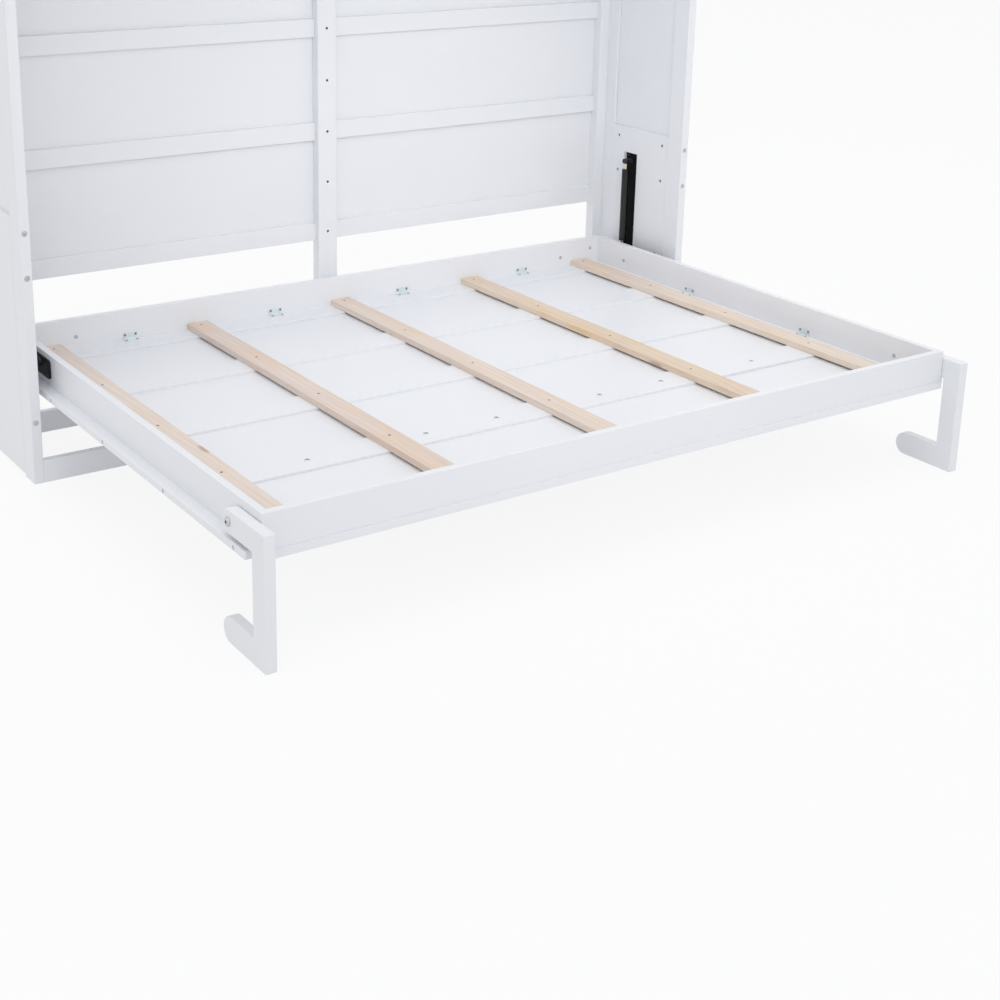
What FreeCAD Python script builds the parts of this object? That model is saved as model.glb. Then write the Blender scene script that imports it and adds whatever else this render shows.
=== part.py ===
import FreeCAD, Part
import math
import os
from types import SimpleNamespace

import Sketcher

# Sideways wall bed, folded down. Millimetres, +Z up. The origin is on the floor at the wall, in the
# middle of the cabinet's width: +X runs along the bed, -Y comes out into the room. Pieces that come
# in pairs are made on the right, at +X, and mirrored to the left.

DIMENSIONS = {
    # Bed frame: four rails standing on a frame-and-panel door
    "bed_width": 1980.0,
    "bed_depth": 1425.0,
    "rail_thick": 18.0,
    "rail_height": 82.0,
    "door_thick": 18.0,
    "door_overhang": 30.0,
    "door_lip": 4.0,
    "door_stile_width": 90.0,
    "door_stile_setback": 18.0,
    "door_rail_width": 100.0,
    "door_rail_end": 44.5,
    "door_panel_thick": 6.0,
    # Slats, each screwed down at every cross rail of the door
    "slat_width": 61.0,
    "slat_thick": 17.0,
    "slat_edge_gap": 79.0,
    "slat_inner_share": 0.518477,
    "slat_end_gap": 0.5,
    "slat_screw_radius": 2.0,
    "slat_screw_head_radius": 4.2,
    "slat_screw_head": 3.0,
    "slat_screw_length": 28.0,
    # Zinc angle brackets between the rails and the door
    "bracket_width": 42.0,
    "bracket_leg": 20.0,
    "bracket_thick": 2.0,
    "bracket_inner_share": 0.222222,
    "bracket_outer_share": 0.684156,
    "bracket_side_share": 0.169825,
    # Bar handles under the door, which face the room when the bed is up
    "handle_holes": 318.0,
    "handle_pitch_share": 0.263131,
    "handle_bar": 12.0,
    "handle_reach": 34.0,
    "handle_bend": 9.0,
    "handle_bolt_radius": 2.5,
    "handle_bolt_head_radius": 7.0,
    "handle_bolt_head": 2.0,
    "handle_bolt_grip": 14.0,
    # C-shaped legs on one bolt each
    "leg_thick": 27.0,
    "leg_width": 52.0,
    "leg_edge": 3.0,
    "leg_clear": 7.0,
    "leg_top_drop": 18.0,
    "leg_arm": 54.0,
    "leg_foot": 59.0,
    "leg_foot_reach": 186.0,
    "leg_pivot_setback": 93.0,
    "leg_bolt_radius": 4.0,
    "leg_bolt_head_radius": 10.0,
    "leg_bolt_head": 5.0,
    "leg_nut_radius": 7.5,
    "leg_nut": 6.5,
    "leg_washer_radius": 14.0,
    "leg_washer": 1.0,
    # Cabinet: two panelled sides, a framed back, a top and two rails at the floor
    "cabinet_depth": 410.0,
    "cabinet_inside_height": 1556.0,
    "side_gap": 47.0,
    "side_thick": 26.0,
    "front_stile_width": 65.0,
    "back_stile_width": 81.0,
    "lower_board_above_slot": 81.0,
    "lower_board_lift": 8.0,
    "side_top_rail_height": 65.0,
    "side_panel_thick": 9.0,
    "groove_depth": 8.0,
    "top_thick": 26.0,
    "kick_height": 60.0,
    "kick_thick": 20.0,
    "back_rail_height": 59.0,
    "back_rail_thick": 20.0,
    "back_rail_place": 72.0,
    # Framed back with its window near the floor
    "back_stile_depth": 36.0,
    "centre_stile_width": 61.0,
    "end_stile_width": 35.0,
    "back_panel_bottom": 415.0,
    "back_panel_thick": 5.0,
    "batten_height": 52.0,
    "batten_thick": 12.0,
    "batten_pitch_share": 0.262051,
    "wall_hole_radius": 3.5,
    "wall_hole_first": 443.0,
    "wall_hole_top_gap": 70.0,
    # Knock-down bolts and their barrel nuts in the cabinet's sides
    "side_bolt_radius": 3.0,
    "side_bolt_head_radius": 6.5,
    "side_bolt_head": 4.0,
    "side_bolt_upper_drop": 33.0,
    "side_bolt_middle_drop": 145.0,
    "side_bolt_lower": 162.0,
    "barrel_radius": 5.0,
    "barrel_length": 18.0,
    "barrel_inset": 27.0,
    # Fold of the bed: pins on the bed turn in flanged bushes in the cabinet's sides
    "pivot_height": 288.0,
    "pivot_above_door": 70.0,
    "door_inset": 31.0,
    "back_gap": 50.0,
    "hinge_plate_thick": 5.0,
    "hinge_plate_front": 62.0,
    "hinge_plate_back_share": 0.762332,
    "hinge_plate_below": 33.0,
    "hinge_plate_above": 16.0,
    "hinge_plate_corner": 8.0,
    "pin_radius": 6.0,
    "pin_collar_radius": 12.0,
    "pin_collar": 6.0,
    "bush_radius": 9.0,
    "bush_flange_radius": 14.0,
    "bush_flange": 3.0,
    "bush_length": 20.0,
    # Gas strut on each side, from a stud on the cabinet to the bed's hinge plate
    "strut_offset": 28.0,
    "strut_top_height": 575.0,
    "strut_foot_drop": 20.0,
    "strut_foot_share": 0.618834,
    "strut_tube_radius": 11.0,
    "strut_wall": 2.0,
    "strut_tube_top_gap": 26.0,
    "strut_rod_shown": 48.0,
    "strut_cap": 6.0,
    "strut_neck_radius": 5.0,
    "strut_socket_radius": 9.0,
    "strut_socket_length": 14.0,
    "strut_ball_radius": 6.0,
    "strut_rod_radius": 5.0,
    "strut_piston": 10.0,
    "strut_piston_top_gap": 5.0,
    "strut_gland": 12.0,
    "stud_radius": 4.0,
    "stud_nut_radius": 7.5,
    "stud_nut": 7.0,
    # Recess in the cabinet's side for the strut's plate
    "slot_width": 62.0,
    "slot_above": 25.0,
    "slot_below": 28.0,
    "slot_depth": 12.0,
    "strut_plate_thick": 3.0,
    # Clearances
    "running_gap": 0.05,
    "loose_gap": 0.3,
    "glue_gap": 0.5,
    "cut_overrun": 2.0,
}

SLAT_SCREW_ROWS = (-2, -1, 0, 1, 2)
BATTEN_ROWS = 4
WALL_HOLES = 8


class Size:
    """A length that carries its value and the sheet expression it comes from."""

    def __init__(self, value, text):
        self.value = value
        self.text = text

    def __add__(self, other):
        return joined(self, "+", other)

    def __radd__(self, other):
        return joined(other, "+", self)

    def __sub__(self, other):
        return joined(self, "-", other)

    def __rsub__(self, other):
        return joined(other, "-", self)

    def __mul__(self, count):
        return joined(self, "*", count)

    def __rmul__(self, count):
        return joined(count, "*", self)

    def __truediv__(self, count):
        return joined(self, "/", count)

    def __neg__(self):
        return joined(0, "-", self)


def value_of(size):
    """The plain number of a size or a count."""
    return size.value if isinstance(size, Size) else float(size)


def text_of(size):
    """The sheet expression of a size or a count."""
    return size.text if isinstance(size, Size) else f"({size})"


def joined(left, sign, right):
    """The size that two sizes, or a size and a count, make."""
    first, second = value_of(left), value_of(right)
    totals = {"+": first + second, "-": first - second, "*": first * second}
    total = first / second if sign == "/" else totals[sign]
    return Size(total, f"({text_of(left)} {sign} {text_of(right)})")


def fill_sheet(doc):
    """Puts each driving dimension in a cell of its own and returns them by name."""
    sheet = doc.addObject("Spreadsheet::Sheet", "Sizes")
    sizes = {}
    for row, (name, number) in enumerate(DIMENSIONS.items(), start=1):
        sheet.set(f"A{row}", str(number))
        sheet.setAlias(f"A{row}", name)
        sizes[name] = Size(number, f"Sizes.{name}")
    doc.recompute()
    return SimpleNamespace(**sizes)


DOC = FreeCAD.newDocument("wall_bed")
S = fill_sheet(DOC)
NODES = []

# Places that several pieces share
half_bed = S.bed_width / 2
inner_x = half_bed + S.side_gap
outer_x = inner_x + S.side_thick
cabinet_front = -S.cabinet_depth
pivot_y = cabinet_front + S.door_inset + S.pivot_above_door
bed_back = -S.back_stile_depth - S.back_gap
tail = bed_back - pivot_y
bed_front = bed_back - S.bed_depth
bed_middle = bed_back - S.bed_depth / 2
door_bottom = S.pivot_height - S.pivot_above_door
door_top = door_bottom + S.door_thick
rail_top = door_top + S.rail_height
slat_top = door_top + S.slat_thick
rail_inner_x = half_bed - S.rail_thick
door_side = half_bed + S.door_overhang
door_stile_inner = door_side - S.door_stile_width
front_board_y = cabinet_front + S.front_stile_width
back_board_y = -S.back_stile_width
leg_pivot_y = bed_front + S.leg_pivot_setback
leg_top = rail_top - S.leg_top_drop
leg_pivot_z = leg_top - S.leg_arm / 2
leg_inner_x = half_bed + S.leg_washer + S.running_gap
strut_x = half_bed + S.strut_offset
strut_y = pivot_y + S.strut_foot_share * tail
strut_foot_z = S.pivot_height - S.strut_foot_drop
slot_bottom = strut_foot_z - S.slot_below
slot_top = S.strut_top_height + S.slot_above
lower_board_top = slot_top + S.lower_board_above_slot
strut_plate_x = inner_x + S.slot_depth - S.strut_plate_thick
slat_outer = rail_inner_x - S.slat_edge_gap
slat_inner = S.slat_inner_share * slat_outer
slat_places = (-slat_outer, -slat_inner, 0, slat_inner, slat_outer)


def bind(thing, path, size):
    """Ties one property of a document object to the sheet."""
    if isinstance(size, Size):
        thing.setExpression(path, size.text)


def place(thing, point):
    """Ties a document object's place to the sheet."""
    for axis, size in zip("xyz", point):
        bind(thing, f"Placement.Base.{axis}", size)


def node(piece, label):
    """Names a finished sub-part and lists it for export."""
    piece.Label = label
    NODES.append(piece)
    return piece


def board(name, low, high):
    """A rectangular board between two corners."""
    box = DOC.addObject("Part::Box", name)
    for side, start, end in zip(("Length", "Width", "Height"), low, high):
        bind(box, side, end - start)
    place(box, low)
    return box


def rod(name, radius, start, axis, length):
    """A round bar from a point along +X, +Y or +Z."""
    bar = DOC.addObject("Part::Cylinder", name)
    bind(bar, "Radius", radius)
    bind(bar, "Height", length)
    turn = FreeCAD.Rotation(FreeCAD.Vector(0, 0, 1), FreeCAD.Vector(*axis))
    bar.Placement = FreeCAD.Placement(FreeCAD.Vector(), turn)
    place(bar, start)
    return bar


def group(name, pieces):
    """Separate solids kept together in one object."""
    together = DOC.addObject("Part::Compound", name)
    together.Links = pieces
    return together


def cut(name, base, tools):
    """A piece with the given tools taken away."""
    piece = DOC.addObject("Part::Cut", name)
    piece.Base = base
    piece.Tool = tools[0] if len(tools) == 1 else group(f"{name}_tools", tools)
    return piece


def fuse(name, pieces):
    """One solid from pieces that meet."""
    piece = DOC.addObject("Part::MultiFuse", name)
    piece.Shapes = pieces
    return piece


def mirrored(name, piece):
    """The left-hand copy of a right-hand piece."""
    copy = DOC.addObject("Part::Mirroring", name)
    copy.Source = piece
    copy.Base = FreeCAD.Vector(0, 0, 0)
    copy.Normal = FreeCAD.Vector(1, 0, 0)
    return copy


def pair(label, piece):
    """Right-hand and left-hand nodes of one piece."""
    node(piece, f"right_{label}")
    return node(mirrored(f"left_{label}", piece), f"left_{label}")


def both_sides(label, pieces):
    """One node that holds small right-hand pieces and their left-hand copies."""
    right = group(f"{label}_right", pieces)
    return node(group(label, [right, mirrored(f"{label}_left", right)]), label)


def copies(name, master, points, turn=None):
    """Links to one master piece, each at its own place."""
    links = []
    for index, point in enumerate(points):
        link = DOC.addObject("App::Link", f"{name}_{index}")
        link.LinkedObject = master
        if turn is not None:
            link.Placement = FreeCAD.Placement(FreeCAD.Vector(), turn)
        place(link, point)
        links.append(link)
    return links


def pin_point(sketch, geometry, end, axis, size):
    """Holds one coordinate of a sketch point at a size from the sketch's origin."""
    kind = "DistanceX" if axis == 0 else "DistanceY"
    index = sketch.addConstraint(Sketcher.Constraint(kind, -1, 1, geometry, end, value_of(size)))
    if isinstance(size, Size):
        sketch.setExpression(f"Constraints[{index}]", size.text)


def add_run(sketch, start, end, centre):
    """One straight or round run of an outline; a round one turns anticlockwise about its centre."""
    first = FreeCAD.Vector(value_of(start[0]), value_of(start[1]), 0)
    last = FreeCAD.Vector(value_of(end[0]), value_of(end[1]), 0)
    if centre is None:
        return sketch.addGeometry(Part.LineSegment(first, last))
    middle = FreeCAD.Vector(value_of(centre[0]), value_of(centre[1]), 0)
    circle = Part.Circle(middle, FreeCAD.Vector(0, 0, 1), (first - middle).Length)
    angles = [math.atan2(point.y - middle.y, point.x - middle.x) for point in (first, last)]
    if angles[1] < angles[0]:
        angles[1] += 2 * math.pi
    return sketch.addGeometry(Part.ArcOfCircle(circle, *angles))


def outline(body, role, corners):
    """A closed sketch through corners given anticlockwise as (u, v) or (u, v, centre of the run after it)."""
    plane = next(feature for feature in body.Origin.OriginFeatures if feature.Role == role)
    sketch = body.newObject("Sketcher::SketchObject", f"{body.Name}_outline")
    sketch.AttachmentSupport = [(plane, "")]
    sketch.MapMode = "FlatFace"
    count = len(corners)
    centres = [corner[2] if len(corner) > 2 else None for corner in corners]
    for index, corner in enumerate(corners):
        add_run(sketch, corner, corners[(index + 1) % count], centres[index])
    for index in range(count):
        sketch.addConstraint(Sketcher.Constraint("Coincident", index, 2, (index + 1) % count, 1))
    for index, corner in enumerate(corners):
        pin_point(sketch, index, 1, 0, corner[0])
        pin_point(sketch, index, 1, 1, corner[1])
        if centres[index] is not None:
            after = corners[(index + 1) % count]
            rise = abs(value_of(after[1]) - value_of(corner[1]))
            run = abs(value_of(after[0]) - value_of(corner[0]))
            axis = 0 if rise >= run else 1
            pin_point(sketch, index, 3, axis, centres[index][axis])
    return sketch


def plate(name, role, corners, thick):
    """An outline given a thickness along its plane's positive axis."""
    body = DOC.addObject("PartDesign::Body", name)
    sketch = outline(body, role, corners)
    pad = body.newObject("PartDesign::Pad", f"{name}_pad")
    pad.Profile = sketch
    pad.Reversed = role == "XZ_Plane"
    bind(pad, "Length", thick)
    return body


def eased(body, radius):
    """A plate whose edges are all rounded."""
    pad = body.Tip
    rounding = body.newObject("PartDesign::Fillet", f"{body.Name}_edges")
    rounding.Base = (pad, [""])
    rounding.UseAllEdges = True
    bind(rounding, "Radius", radius)
    return body


def turned(name, corners, upright=False):
    """A turned piece: a half section in (x, z) spun about its X axis, or about Z when upright."""
    body = DOC.addObject("PartDesign::Body", name)
    sketch = outline(body, "XZ_Plane", corners)
    spin = body.newObject("PartDesign::Revolution", f"{name}_spin")
    spin.Profile = sketch
    spin.ReferenceAxis = (sketch, ["V_Axis" if upright else "H_Axis"])
    spin.Angle = 360
    return body


def stepped(steps):
    """Half section of a turned piece from (end, radius) steps that follow each other along X."""
    corners = [(0, 0)]
    start = 0
    top = []
    for end, radius in steps:
        top += [(start, radius), (end, radius)]
        start = end
    corners.append((start, 0))
    return corners + top[::-1]


def rounded(low, high, corner):
    """Anticlockwise outline of a rectangle with round corners."""
    (left, bottom), (right, top) = low, high
    return [
        (left + corner, bottom),
        (right - corner, bottom, (right - corner, bottom + corner)),
        (right, bottom + corner),
        (right, top - corner, (right - corner, top - corner)),
        (right - corner, top),
        (left + corner, top, (left + corner, top - corner)),
        (left, top - corner),
        (left, bottom + corner, (left + corner, bottom + corner)),
    ]


def side_bolt_heights():
    """Heights of the knock-down bolts that join a side's lower board to its stiles."""
    return (lower_board_top - S.side_bolt_upper_drop, lower_board_top - S.side_bolt_middle_drop,
            S.side_bolt_lower)


def bolt_bores(name, stile_y, inward, stile_width):
    """Bores of one stile's bolts: a head's counterbore and a shank's way through to the barrel nut."""
    bores = []
    middle_x = inner_x + S.side_thick / 2
    reach = stile_width + S.barrel_inset + S.barrel_radius
    for index, height in enumerate(side_bolt_heights()):
        axis = (0, inward, 0)
        bores.append(rod(f"{name}_head_{index}", S.side_bolt_head_radius + S.loose_gap,
                         (middle_x, stile_y - inward * S.cut_overrun, height), axis,
                         S.side_bolt_head + S.cut_overrun))
        bores.append(rod(f"{name}_shank_{index}", S.side_bolt_radius + S.loose_gap,
                         (middle_x, stile_y, height), axis, reach))
    return bores


def side_frames():
    """Panelled sides: two stiles, a lower board with the strut's recess, a panel and a top rail."""
    top_rail_bottom = S.cabinet_inside_height - S.side_top_rail_height
    groove_low = inner_x + (S.side_thick - S.side_panel_thick) / 2 - S.loose_gap
    groove_high = outer_x - (S.side_thick - S.side_panel_thick) / 2 + S.loose_gap
    groove = board("side_groove",
                   (groove_low, front_board_y - S.groove_depth, lower_board_top - S.groove_depth),
                   (groove_high, back_board_y + S.groove_depth, top_rail_bottom + S.groove_depth))
    front_bores = bolt_bores("front_bore", cabinet_front, 1, S.front_stile_width)
    back_bores = bolt_bores("back_bore", 0, -1, S.back_stile_width)
    front_stile = board("front_stile_blank", (inner_x, cabinet_front, 0),
                        (outer_x, front_board_y, S.cabinet_inside_height))
    pair("front_stile", cut("right_front_stile", front_stile, [groove] + front_bores))
    back_stile = board("back_stile_blank", (inner_x, back_board_y, 0),
                       (outer_x, 0, S.cabinet_inside_height))
    pair("back_stile", cut("right_back_stile", back_stile, [groove] + back_bores))
    lower = board("lower_board_blank", (inner_x, front_board_y, S.lower_board_lift),
                  (outer_x, back_board_y, lower_board_top))
    pair("lower_board", cut("right_lower_board", lower,
                            [groove, strut_slot(), bush_bore()] + front_bores + back_bores + barrel_bores()))
    top_rail = board("top_rail_blank", (inner_x, front_board_y, top_rail_bottom),
                     (outer_x, back_board_y, S.cabinet_inside_height))
    pair("side_top_rail", cut("right_side_top_rail", top_rail, [groove]))
    inset = S.groove_depth - S.glue_gap
    pair("side_panel", board("right_side_panel",
                             (groove_low + S.loose_gap, front_board_y - inset, lower_board_top - inset),
                             (groove_high - S.loose_gap, back_board_y + inset, top_rail_bottom + inset)))


def strut_slot():
    """Recess in a side's inner face, behind the gas strut."""
    return board("strut_slot", (inner_x - S.cut_overrun, strut_y - S.slot_width / 2, slot_bottom),
                 (inner_x + S.slot_depth, strut_y + S.slot_width / 2, slot_top))


def bush_bore():
    """Bore of the bed's pivot bush in a side."""
    return rod("bush_bore", S.bush_radius + S.running_gap, (inner_x - S.cut_overrun, pivot_y, S.pivot_height),
               (1, 0, 0), S.bush_length + S.cut_overrun)


def barrel_places():
    """Centres of the barrel nuts of the right-hand side, on its inner face."""
    rows = (front_board_y + S.barrel_inset, back_board_y - S.barrel_inset)
    return [(inner_x, row, height) for row in rows for height in side_bolt_heights()]


def barrel_bores():
    """Blind holes for the barrel nuts, open at the inner face."""
    length = S.side_thick / 2 + S.barrel_length / 2
    bores = []
    for index, (face, row, height) in enumerate(barrel_places()):
        bores.append(rod(f"barrel_bore_{index}", S.barrel_radius + S.running_gap,
                         (face - S.cut_overrun, row, height), (1, 0, 0), length + S.cut_overrun))
    return bores


def cabinet_fasteners():
    """Knock-down bolts from both edges of each side, and the barrel nuts they draw on."""
    middle_x = inner_x + S.side_thick / 2
    bolts = []
    edges = (
        ("front", cabinet_front, 1, S.front_stile_width),
        ("back", 0, -1, S.back_stile_width),
    )
    for edge, start, inward, stile_width in edges:
        length = stile_width + S.barrel_inset + S.barrel_radius - S.loose_gap
        steps = ((S.side_bolt_head, S.side_bolt_head_radius), (length, S.side_bolt_radius))
        master = turned(f"{edge}_bolt", stepped(steps))
        turn = FreeCAD.Rotation(FreeCAD.Vector(1, 0, 0), FreeCAD.Vector(0, inward, 0))
        points = [(middle_x, start, height) for height in side_bolt_heights()]
        bolts += copies(f"{edge}_bolt_copy", master, points, turn)
    both_sides("side_bolts", bolts)
    blank = rod("barrel_blank", S.barrel_radius, (0, 0, 0), (1, 0, 0), S.barrel_length)
    thread = rod("barrel_thread", S.side_bolt_radius + S.running_gap,
                 (S.barrel_length / 2, -S.barrel_radius - S.cut_overrun, 0), (0, 1, 0),
                 2 * (S.barrel_radius + S.cut_overrun))
    barrel = cut("barrel_nut", blank, [thread])
    inset = (S.side_thick - S.barrel_length) / 2
    points = [(face + inset, row, height) for face, row, height in barrel_places()]
    both_sides("barrel_nuts", copies("barrel_copy", barrel, points))


def wall_holes():
    """Screw holes through the centre stile, in one line up its middle."""
    holes = []
    pitch = (S.cabinet_inside_height - S.wall_hole_first - S.wall_hole_top_gap) / (WALL_HOLES - 1)
    for index in range(WALL_HOLES):
        height = S.wall_hole_first + index * pitch
        holes.append(rod(f"wall_hole_{index}", S.wall_hole_radius,
                         (0, -S.back_stile_depth - S.cut_overrun, height), (0, 1, 0),
                         S.back_stile_depth + 2 * S.cut_overrun))
    return holes


def back_frame():
    """Framed back: a centre stile, an end stile at each side, thin panels and battens across them."""
    half_stile = S.centre_stile_width / 2
    end_x = inner_x - S.end_stile_width
    centre = board("centre_stile_blank", (-half_stile, -S.back_stile_depth, 0),
                   (half_stile, 0, S.cabinet_inside_height))
    node(cut("centre_stile", centre, wall_holes()), "centre_stile")
    pair("end_stile", board("right_end_stile", (end_x, -S.back_stile_depth, 0),
                            (inner_x, 0, S.cabinet_inside_height)))
    pair("back_panel", board("right_back_panel", (half_stile, -S.back_panel_thick, S.back_panel_bottom),
                             (end_x, 0, S.cabinet_inside_height)))
    battens = []
    pitch = S.batten_pitch_share * (S.cabinet_inside_height - S.back_panel_bottom)
    bottoms = [S.back_panel_bottom + row * pitch for row in range(BATTEN_ROWS)]
    bottoms.append(S.cabinet_inside_height - S.batten_height)
    for index, bottom in enumerate(bottoms):
        battens.append(board(f"batten_{index}", (half_stile, -S.back_panel_thick - S.batten_thick, bottom),
                             (end_x, -S.back_panel_thick, bottom + S.batten_height)))
    both_sides("back_battens", battens)


def cabinet_top_and_floor_rails():
    """Top board over the sides, kick rail at the front and rail at the back, both on the floor."""
    node(board("top_board", (-outer_x, cabinet_front, S.cabinet_inside_height),
               (outer_x, 0, S.cabinet_inside_height + S.top_thick)), "top_board")
    node(board("kick_rail", (-inner_x, cabinet_front, 0),
               (inner_x, cabinet_front + S.kick_thick, S.kick_height)), "kick_rail")
    back = -S.back_rail_place
    node(board("back_floor_rail", (-inner_x, back, 0),
               (inner_x, back + S.back_rail_thick, S.back_rail_height)), "back_floor_rail")


def bed_rails():
    """Four rails in a rectangle on the door; the side rails run the full depth."""
    ends = (("front_rail", bed_front), ("back_rail", bed_back - S.rail_thick))
    for name, start in ends:
        node(board(name, (-rail_inner_x, start, door_top),
                   (rail_inner_x, start + S.rail_thick, rail_top)), name)
    blank = board("side_rail_blank", (rail_inner_x, bed_front, door_top), (half_bed, bed_back, rail_top))
    hole = rod("leg_bolt_hole", S.leg_bolt_radius + S.loose_gap,
               (rail_inner_x - S.cut_overrun, leg_pivot_y, leg_pivot_z), (1, 0, 0),
               S.rail_thick + 2 * S.cut_overrun)
    pair("side_rail", cut("right_side_rail", blank, [hole]))


def door_row(row):
    """Middle of one of the door's cross rails, counted from the middle of the bed."""
    pitch = (S.bed_depth - 2 * S.door_rail_end) / (len(SLAT_SCREW_ROWS) - 1)
    return bed_middle + row * pitch


def slat_screw_half_section(grow):
    """Half section of a countersunk screw, point at the origin and head up, grown for its hole."""
    head = S.slat_screw_length - S.slat_screw_head
    shank = S.slat_screw_radius + grow
    return [
        (0, 0),
        (shank, 0),
        (shank, head),
        (S.slat_screw_head_radius + grow, S.slat_screw_length),
        (0, S.slat_screw_length),
    ]


def slat_screw_points(columns, rows):
    """Points of the slat screws at the given slats and cross rails."""
    bottom = slat_top - S.slat_screw_length
    return [(slat_places[column], door_row(row), bottom) for column in columns for row in rows]


def slats(screw_hole):
    """Slats between the front and back rails, and one screw at each crossing of a cross rail."""
    start = bed_front + S.rail_thick + S.slat_end_gap
    end = bed_back - S.rail_thick - S.slat_end_gap
    for column, centre in enumerate(slat_places):
        name = f"slat_{column + 1}"
        blank = board(f"{name}_blank", (centre - S.slat_width / 2, start, door_top),
                      (centre + S.slat_width / 2, end, slat_top))
        holes = copies(f"{name}_hole", screw_hole, slat_screw_points([column], SLAT_SCREW_ROWS))
        node(cut(name, blank, holes), name)
    screw = turned("slat_screw", slat_screw_half_section(0), upright=True)
    columns = range(len(slat_places))
    node(group("slat_screws", copies("slat_screw_copy", screw, slat_screw_points(columns, SLAT_SCREW_ROWS))),
         "slat_screws")


def door_rail_span(row):
    """Front and back edge of a cross rail; the end ones reach the door's own edges."""
    front = bed_front - S.door_lip if row == SLAT_SCREW_ROWS[0] else door_row(row) - S.door_rail_width / 2
    back = bed_back if row == SLAT_SCREW_ROWS[-1] else door_row(row) + S.door_rail_width / 2
    return front, back


def door_grooves():
    """Panel grooves of the door: one slot round each panel, cut into rails and stiles alike."""
    low = door_bottom + (S.door_thick - S.door_panel_thick) / 2 - S.loose_gap
    high = low + S.door_panel_thick + 2 * S.loose_gap
    side = door_stile_inner + S.groove_depth
    grooves = []
    for row in SLAT_SCREW_ROWS[:-1]:
        front = door_rail_span(row)[1] - S.groove_depth
        back = door_rail_span(row + 1)[0] + S.groove_depth
        grooves.append(board(f"door_groove_{row + 2}", (-side, front, low), (side, back, high)))
    return grooves


def door_rail_blank(name, row):
    """A cross rail before its cuts; the front one laps the stiles' ends, out to the side rails."""
    front, back = door_rail_span(row)
    blank = board(f"{name}_blank", (-door_stile_inner, front, door_bottom), (door_stile_inner, back, door_top))
    if row != SLAT_SCREW_ROWS[0]:
        return blank
    lap = board(f"{name}_lap", (-half_bed, front, door_bottom),
                (half_bed, bed_front + S.door_stile_setback, door_top))
    return fuse(f"{name}_lapped", [blank, lap])


def door(screw_hole):
    """Frame-and-panel door that is the bed's floor and, with the bed up, the cabinet's front."""
    grooves = door_grooves()
    stile = board("door_stile_blank", (door_stile_inner, bed_front + S.door_stile_setback, door_bottom),
                  (door_side, bed_back, door_top))
    pair("door_stile", cut("right_door_stile", stile, grooves))
    columns = range(len(slat_places))
    for index, row in enumerate(SLAT_SCREW_ROWS):
        name = f"door_rail_{index + 1}"
        tools = grooves[max(index - 1, 0):index + 1]
        tools = tools + copies(f"{name}_hole", screw_hole, slat_screw_points(columns, [row]))
        if row == SLAT_SCREW_ROWS[1]:
            tools = tools + handle_bores("door_handle_bore", door_bottom - S.cut_overrun)
        node(cut(name, door_rail_blank(name, row), tools), name)
    inset = S.groove_depth - S.glue_gap
    side = door_stile_inner + inset
    low = door_bottom + (S.door_thick - S.door_panel_thick) / 2
    panels = []
    for row in SLAT_SCREW_ROWS[:-1]:
        front = door_rail_span(row)[1] - inset
        back = door_rail_span(row + 1)[0] + inset
        panels.append(board(f"door_panel_{row + 2}", (-side, front, low),
                            (side, back, low + S.door_panel_thick)))
    node(group("door_panels", panels), "door_panels")


def handle_centres():
    """Middles of the bar handles along the bed."""
    pitch = S.handle_pitch_share * S.bed_width
    return (-pitch, 0, pitch)


def handle_bolt_places():
    """X places of the handles' bolts, two to a handle."""
    half = S.handle_holes / 2
    return [centre + side * half for centre in handle_centres() for side in (-1, 1)]


def handle_bores(name, bottom):
    """Clearance holes of the handles' bolts, up from a given height."""
    row = door_row(SLAT_SCREW_ROWS[1])
    length = door_top - bottom + S.cut_overrun
    return [rod(f"{name}_{index}", S.handle_bolt_radius + S.running_gap, (x, row, bottom), (0, 0, 1), length)
            for index, x in enumerate(handle_bolt_places())]


def handles():
    """Bar handles under the door's second cross rail, each held by two bolts from inside the bed."""
    row = door_row(SLAT_SCREW_ROWS[1])
    half = S.handle_holes / 2 + S.handle_bar / 2
    bottom = door_bottom - S.handle_reach
    inner_half = half - S.handle_bar
    inner_bottom = bottom + S.handle_bar
    corners = [
        (-half + S.handle_bend, bottom),
        (half - S.handle_bend, bottom, (half - S.handle_bend, bottom + S.handle_bend)),
        (half, bottom + S.handle_bend),
        (half, door_bottom),
        (inner_half, door_bottom),
        (inner_half, inner_bottom),
        (-inner_half, inner_bottom),
        (-inner_half, door_bottom),
        (-half, door_bottom),
        (-half, bottom + S.handle_bend, (-half + S.handle_bend, bottom + S.handle_bend)),
    ]
    bar = plate("handle_bar", "XZ_Plane", corners, S.handle_bar)
    points = [(centre, row - S.handle_bar / 2, 0) for centre in handle_centres()]
    blanks = group("handle_blanks", copies("handle_copy", bar, points))
    node(cut("door_handles", blanks, handle_bores("handle_bore", door_bottom - S.handle_bolt_grip)),
         "door_handles")
    length = S.door_thick + S.handle_bolt_grip - S.loose_gap
    bolt = turned("handle_bolt", stepped(((length, S.handle_bolt_radius),
                                          (length + S.handle_bolt_head, S.handle_bolt_head_radius))))
    turn = FreeCAD.Rotation(FreeCAD.Vector(1, 0, 0), FreeCAD.Vector(0, 0, 1))
    points = [(x, row, door_top - length) for x in handle_bolt_places()]
    node(group("handle_bolts", copies("handle_bolt_copy", bolt, points, turn)), "handle_bolts")


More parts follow.
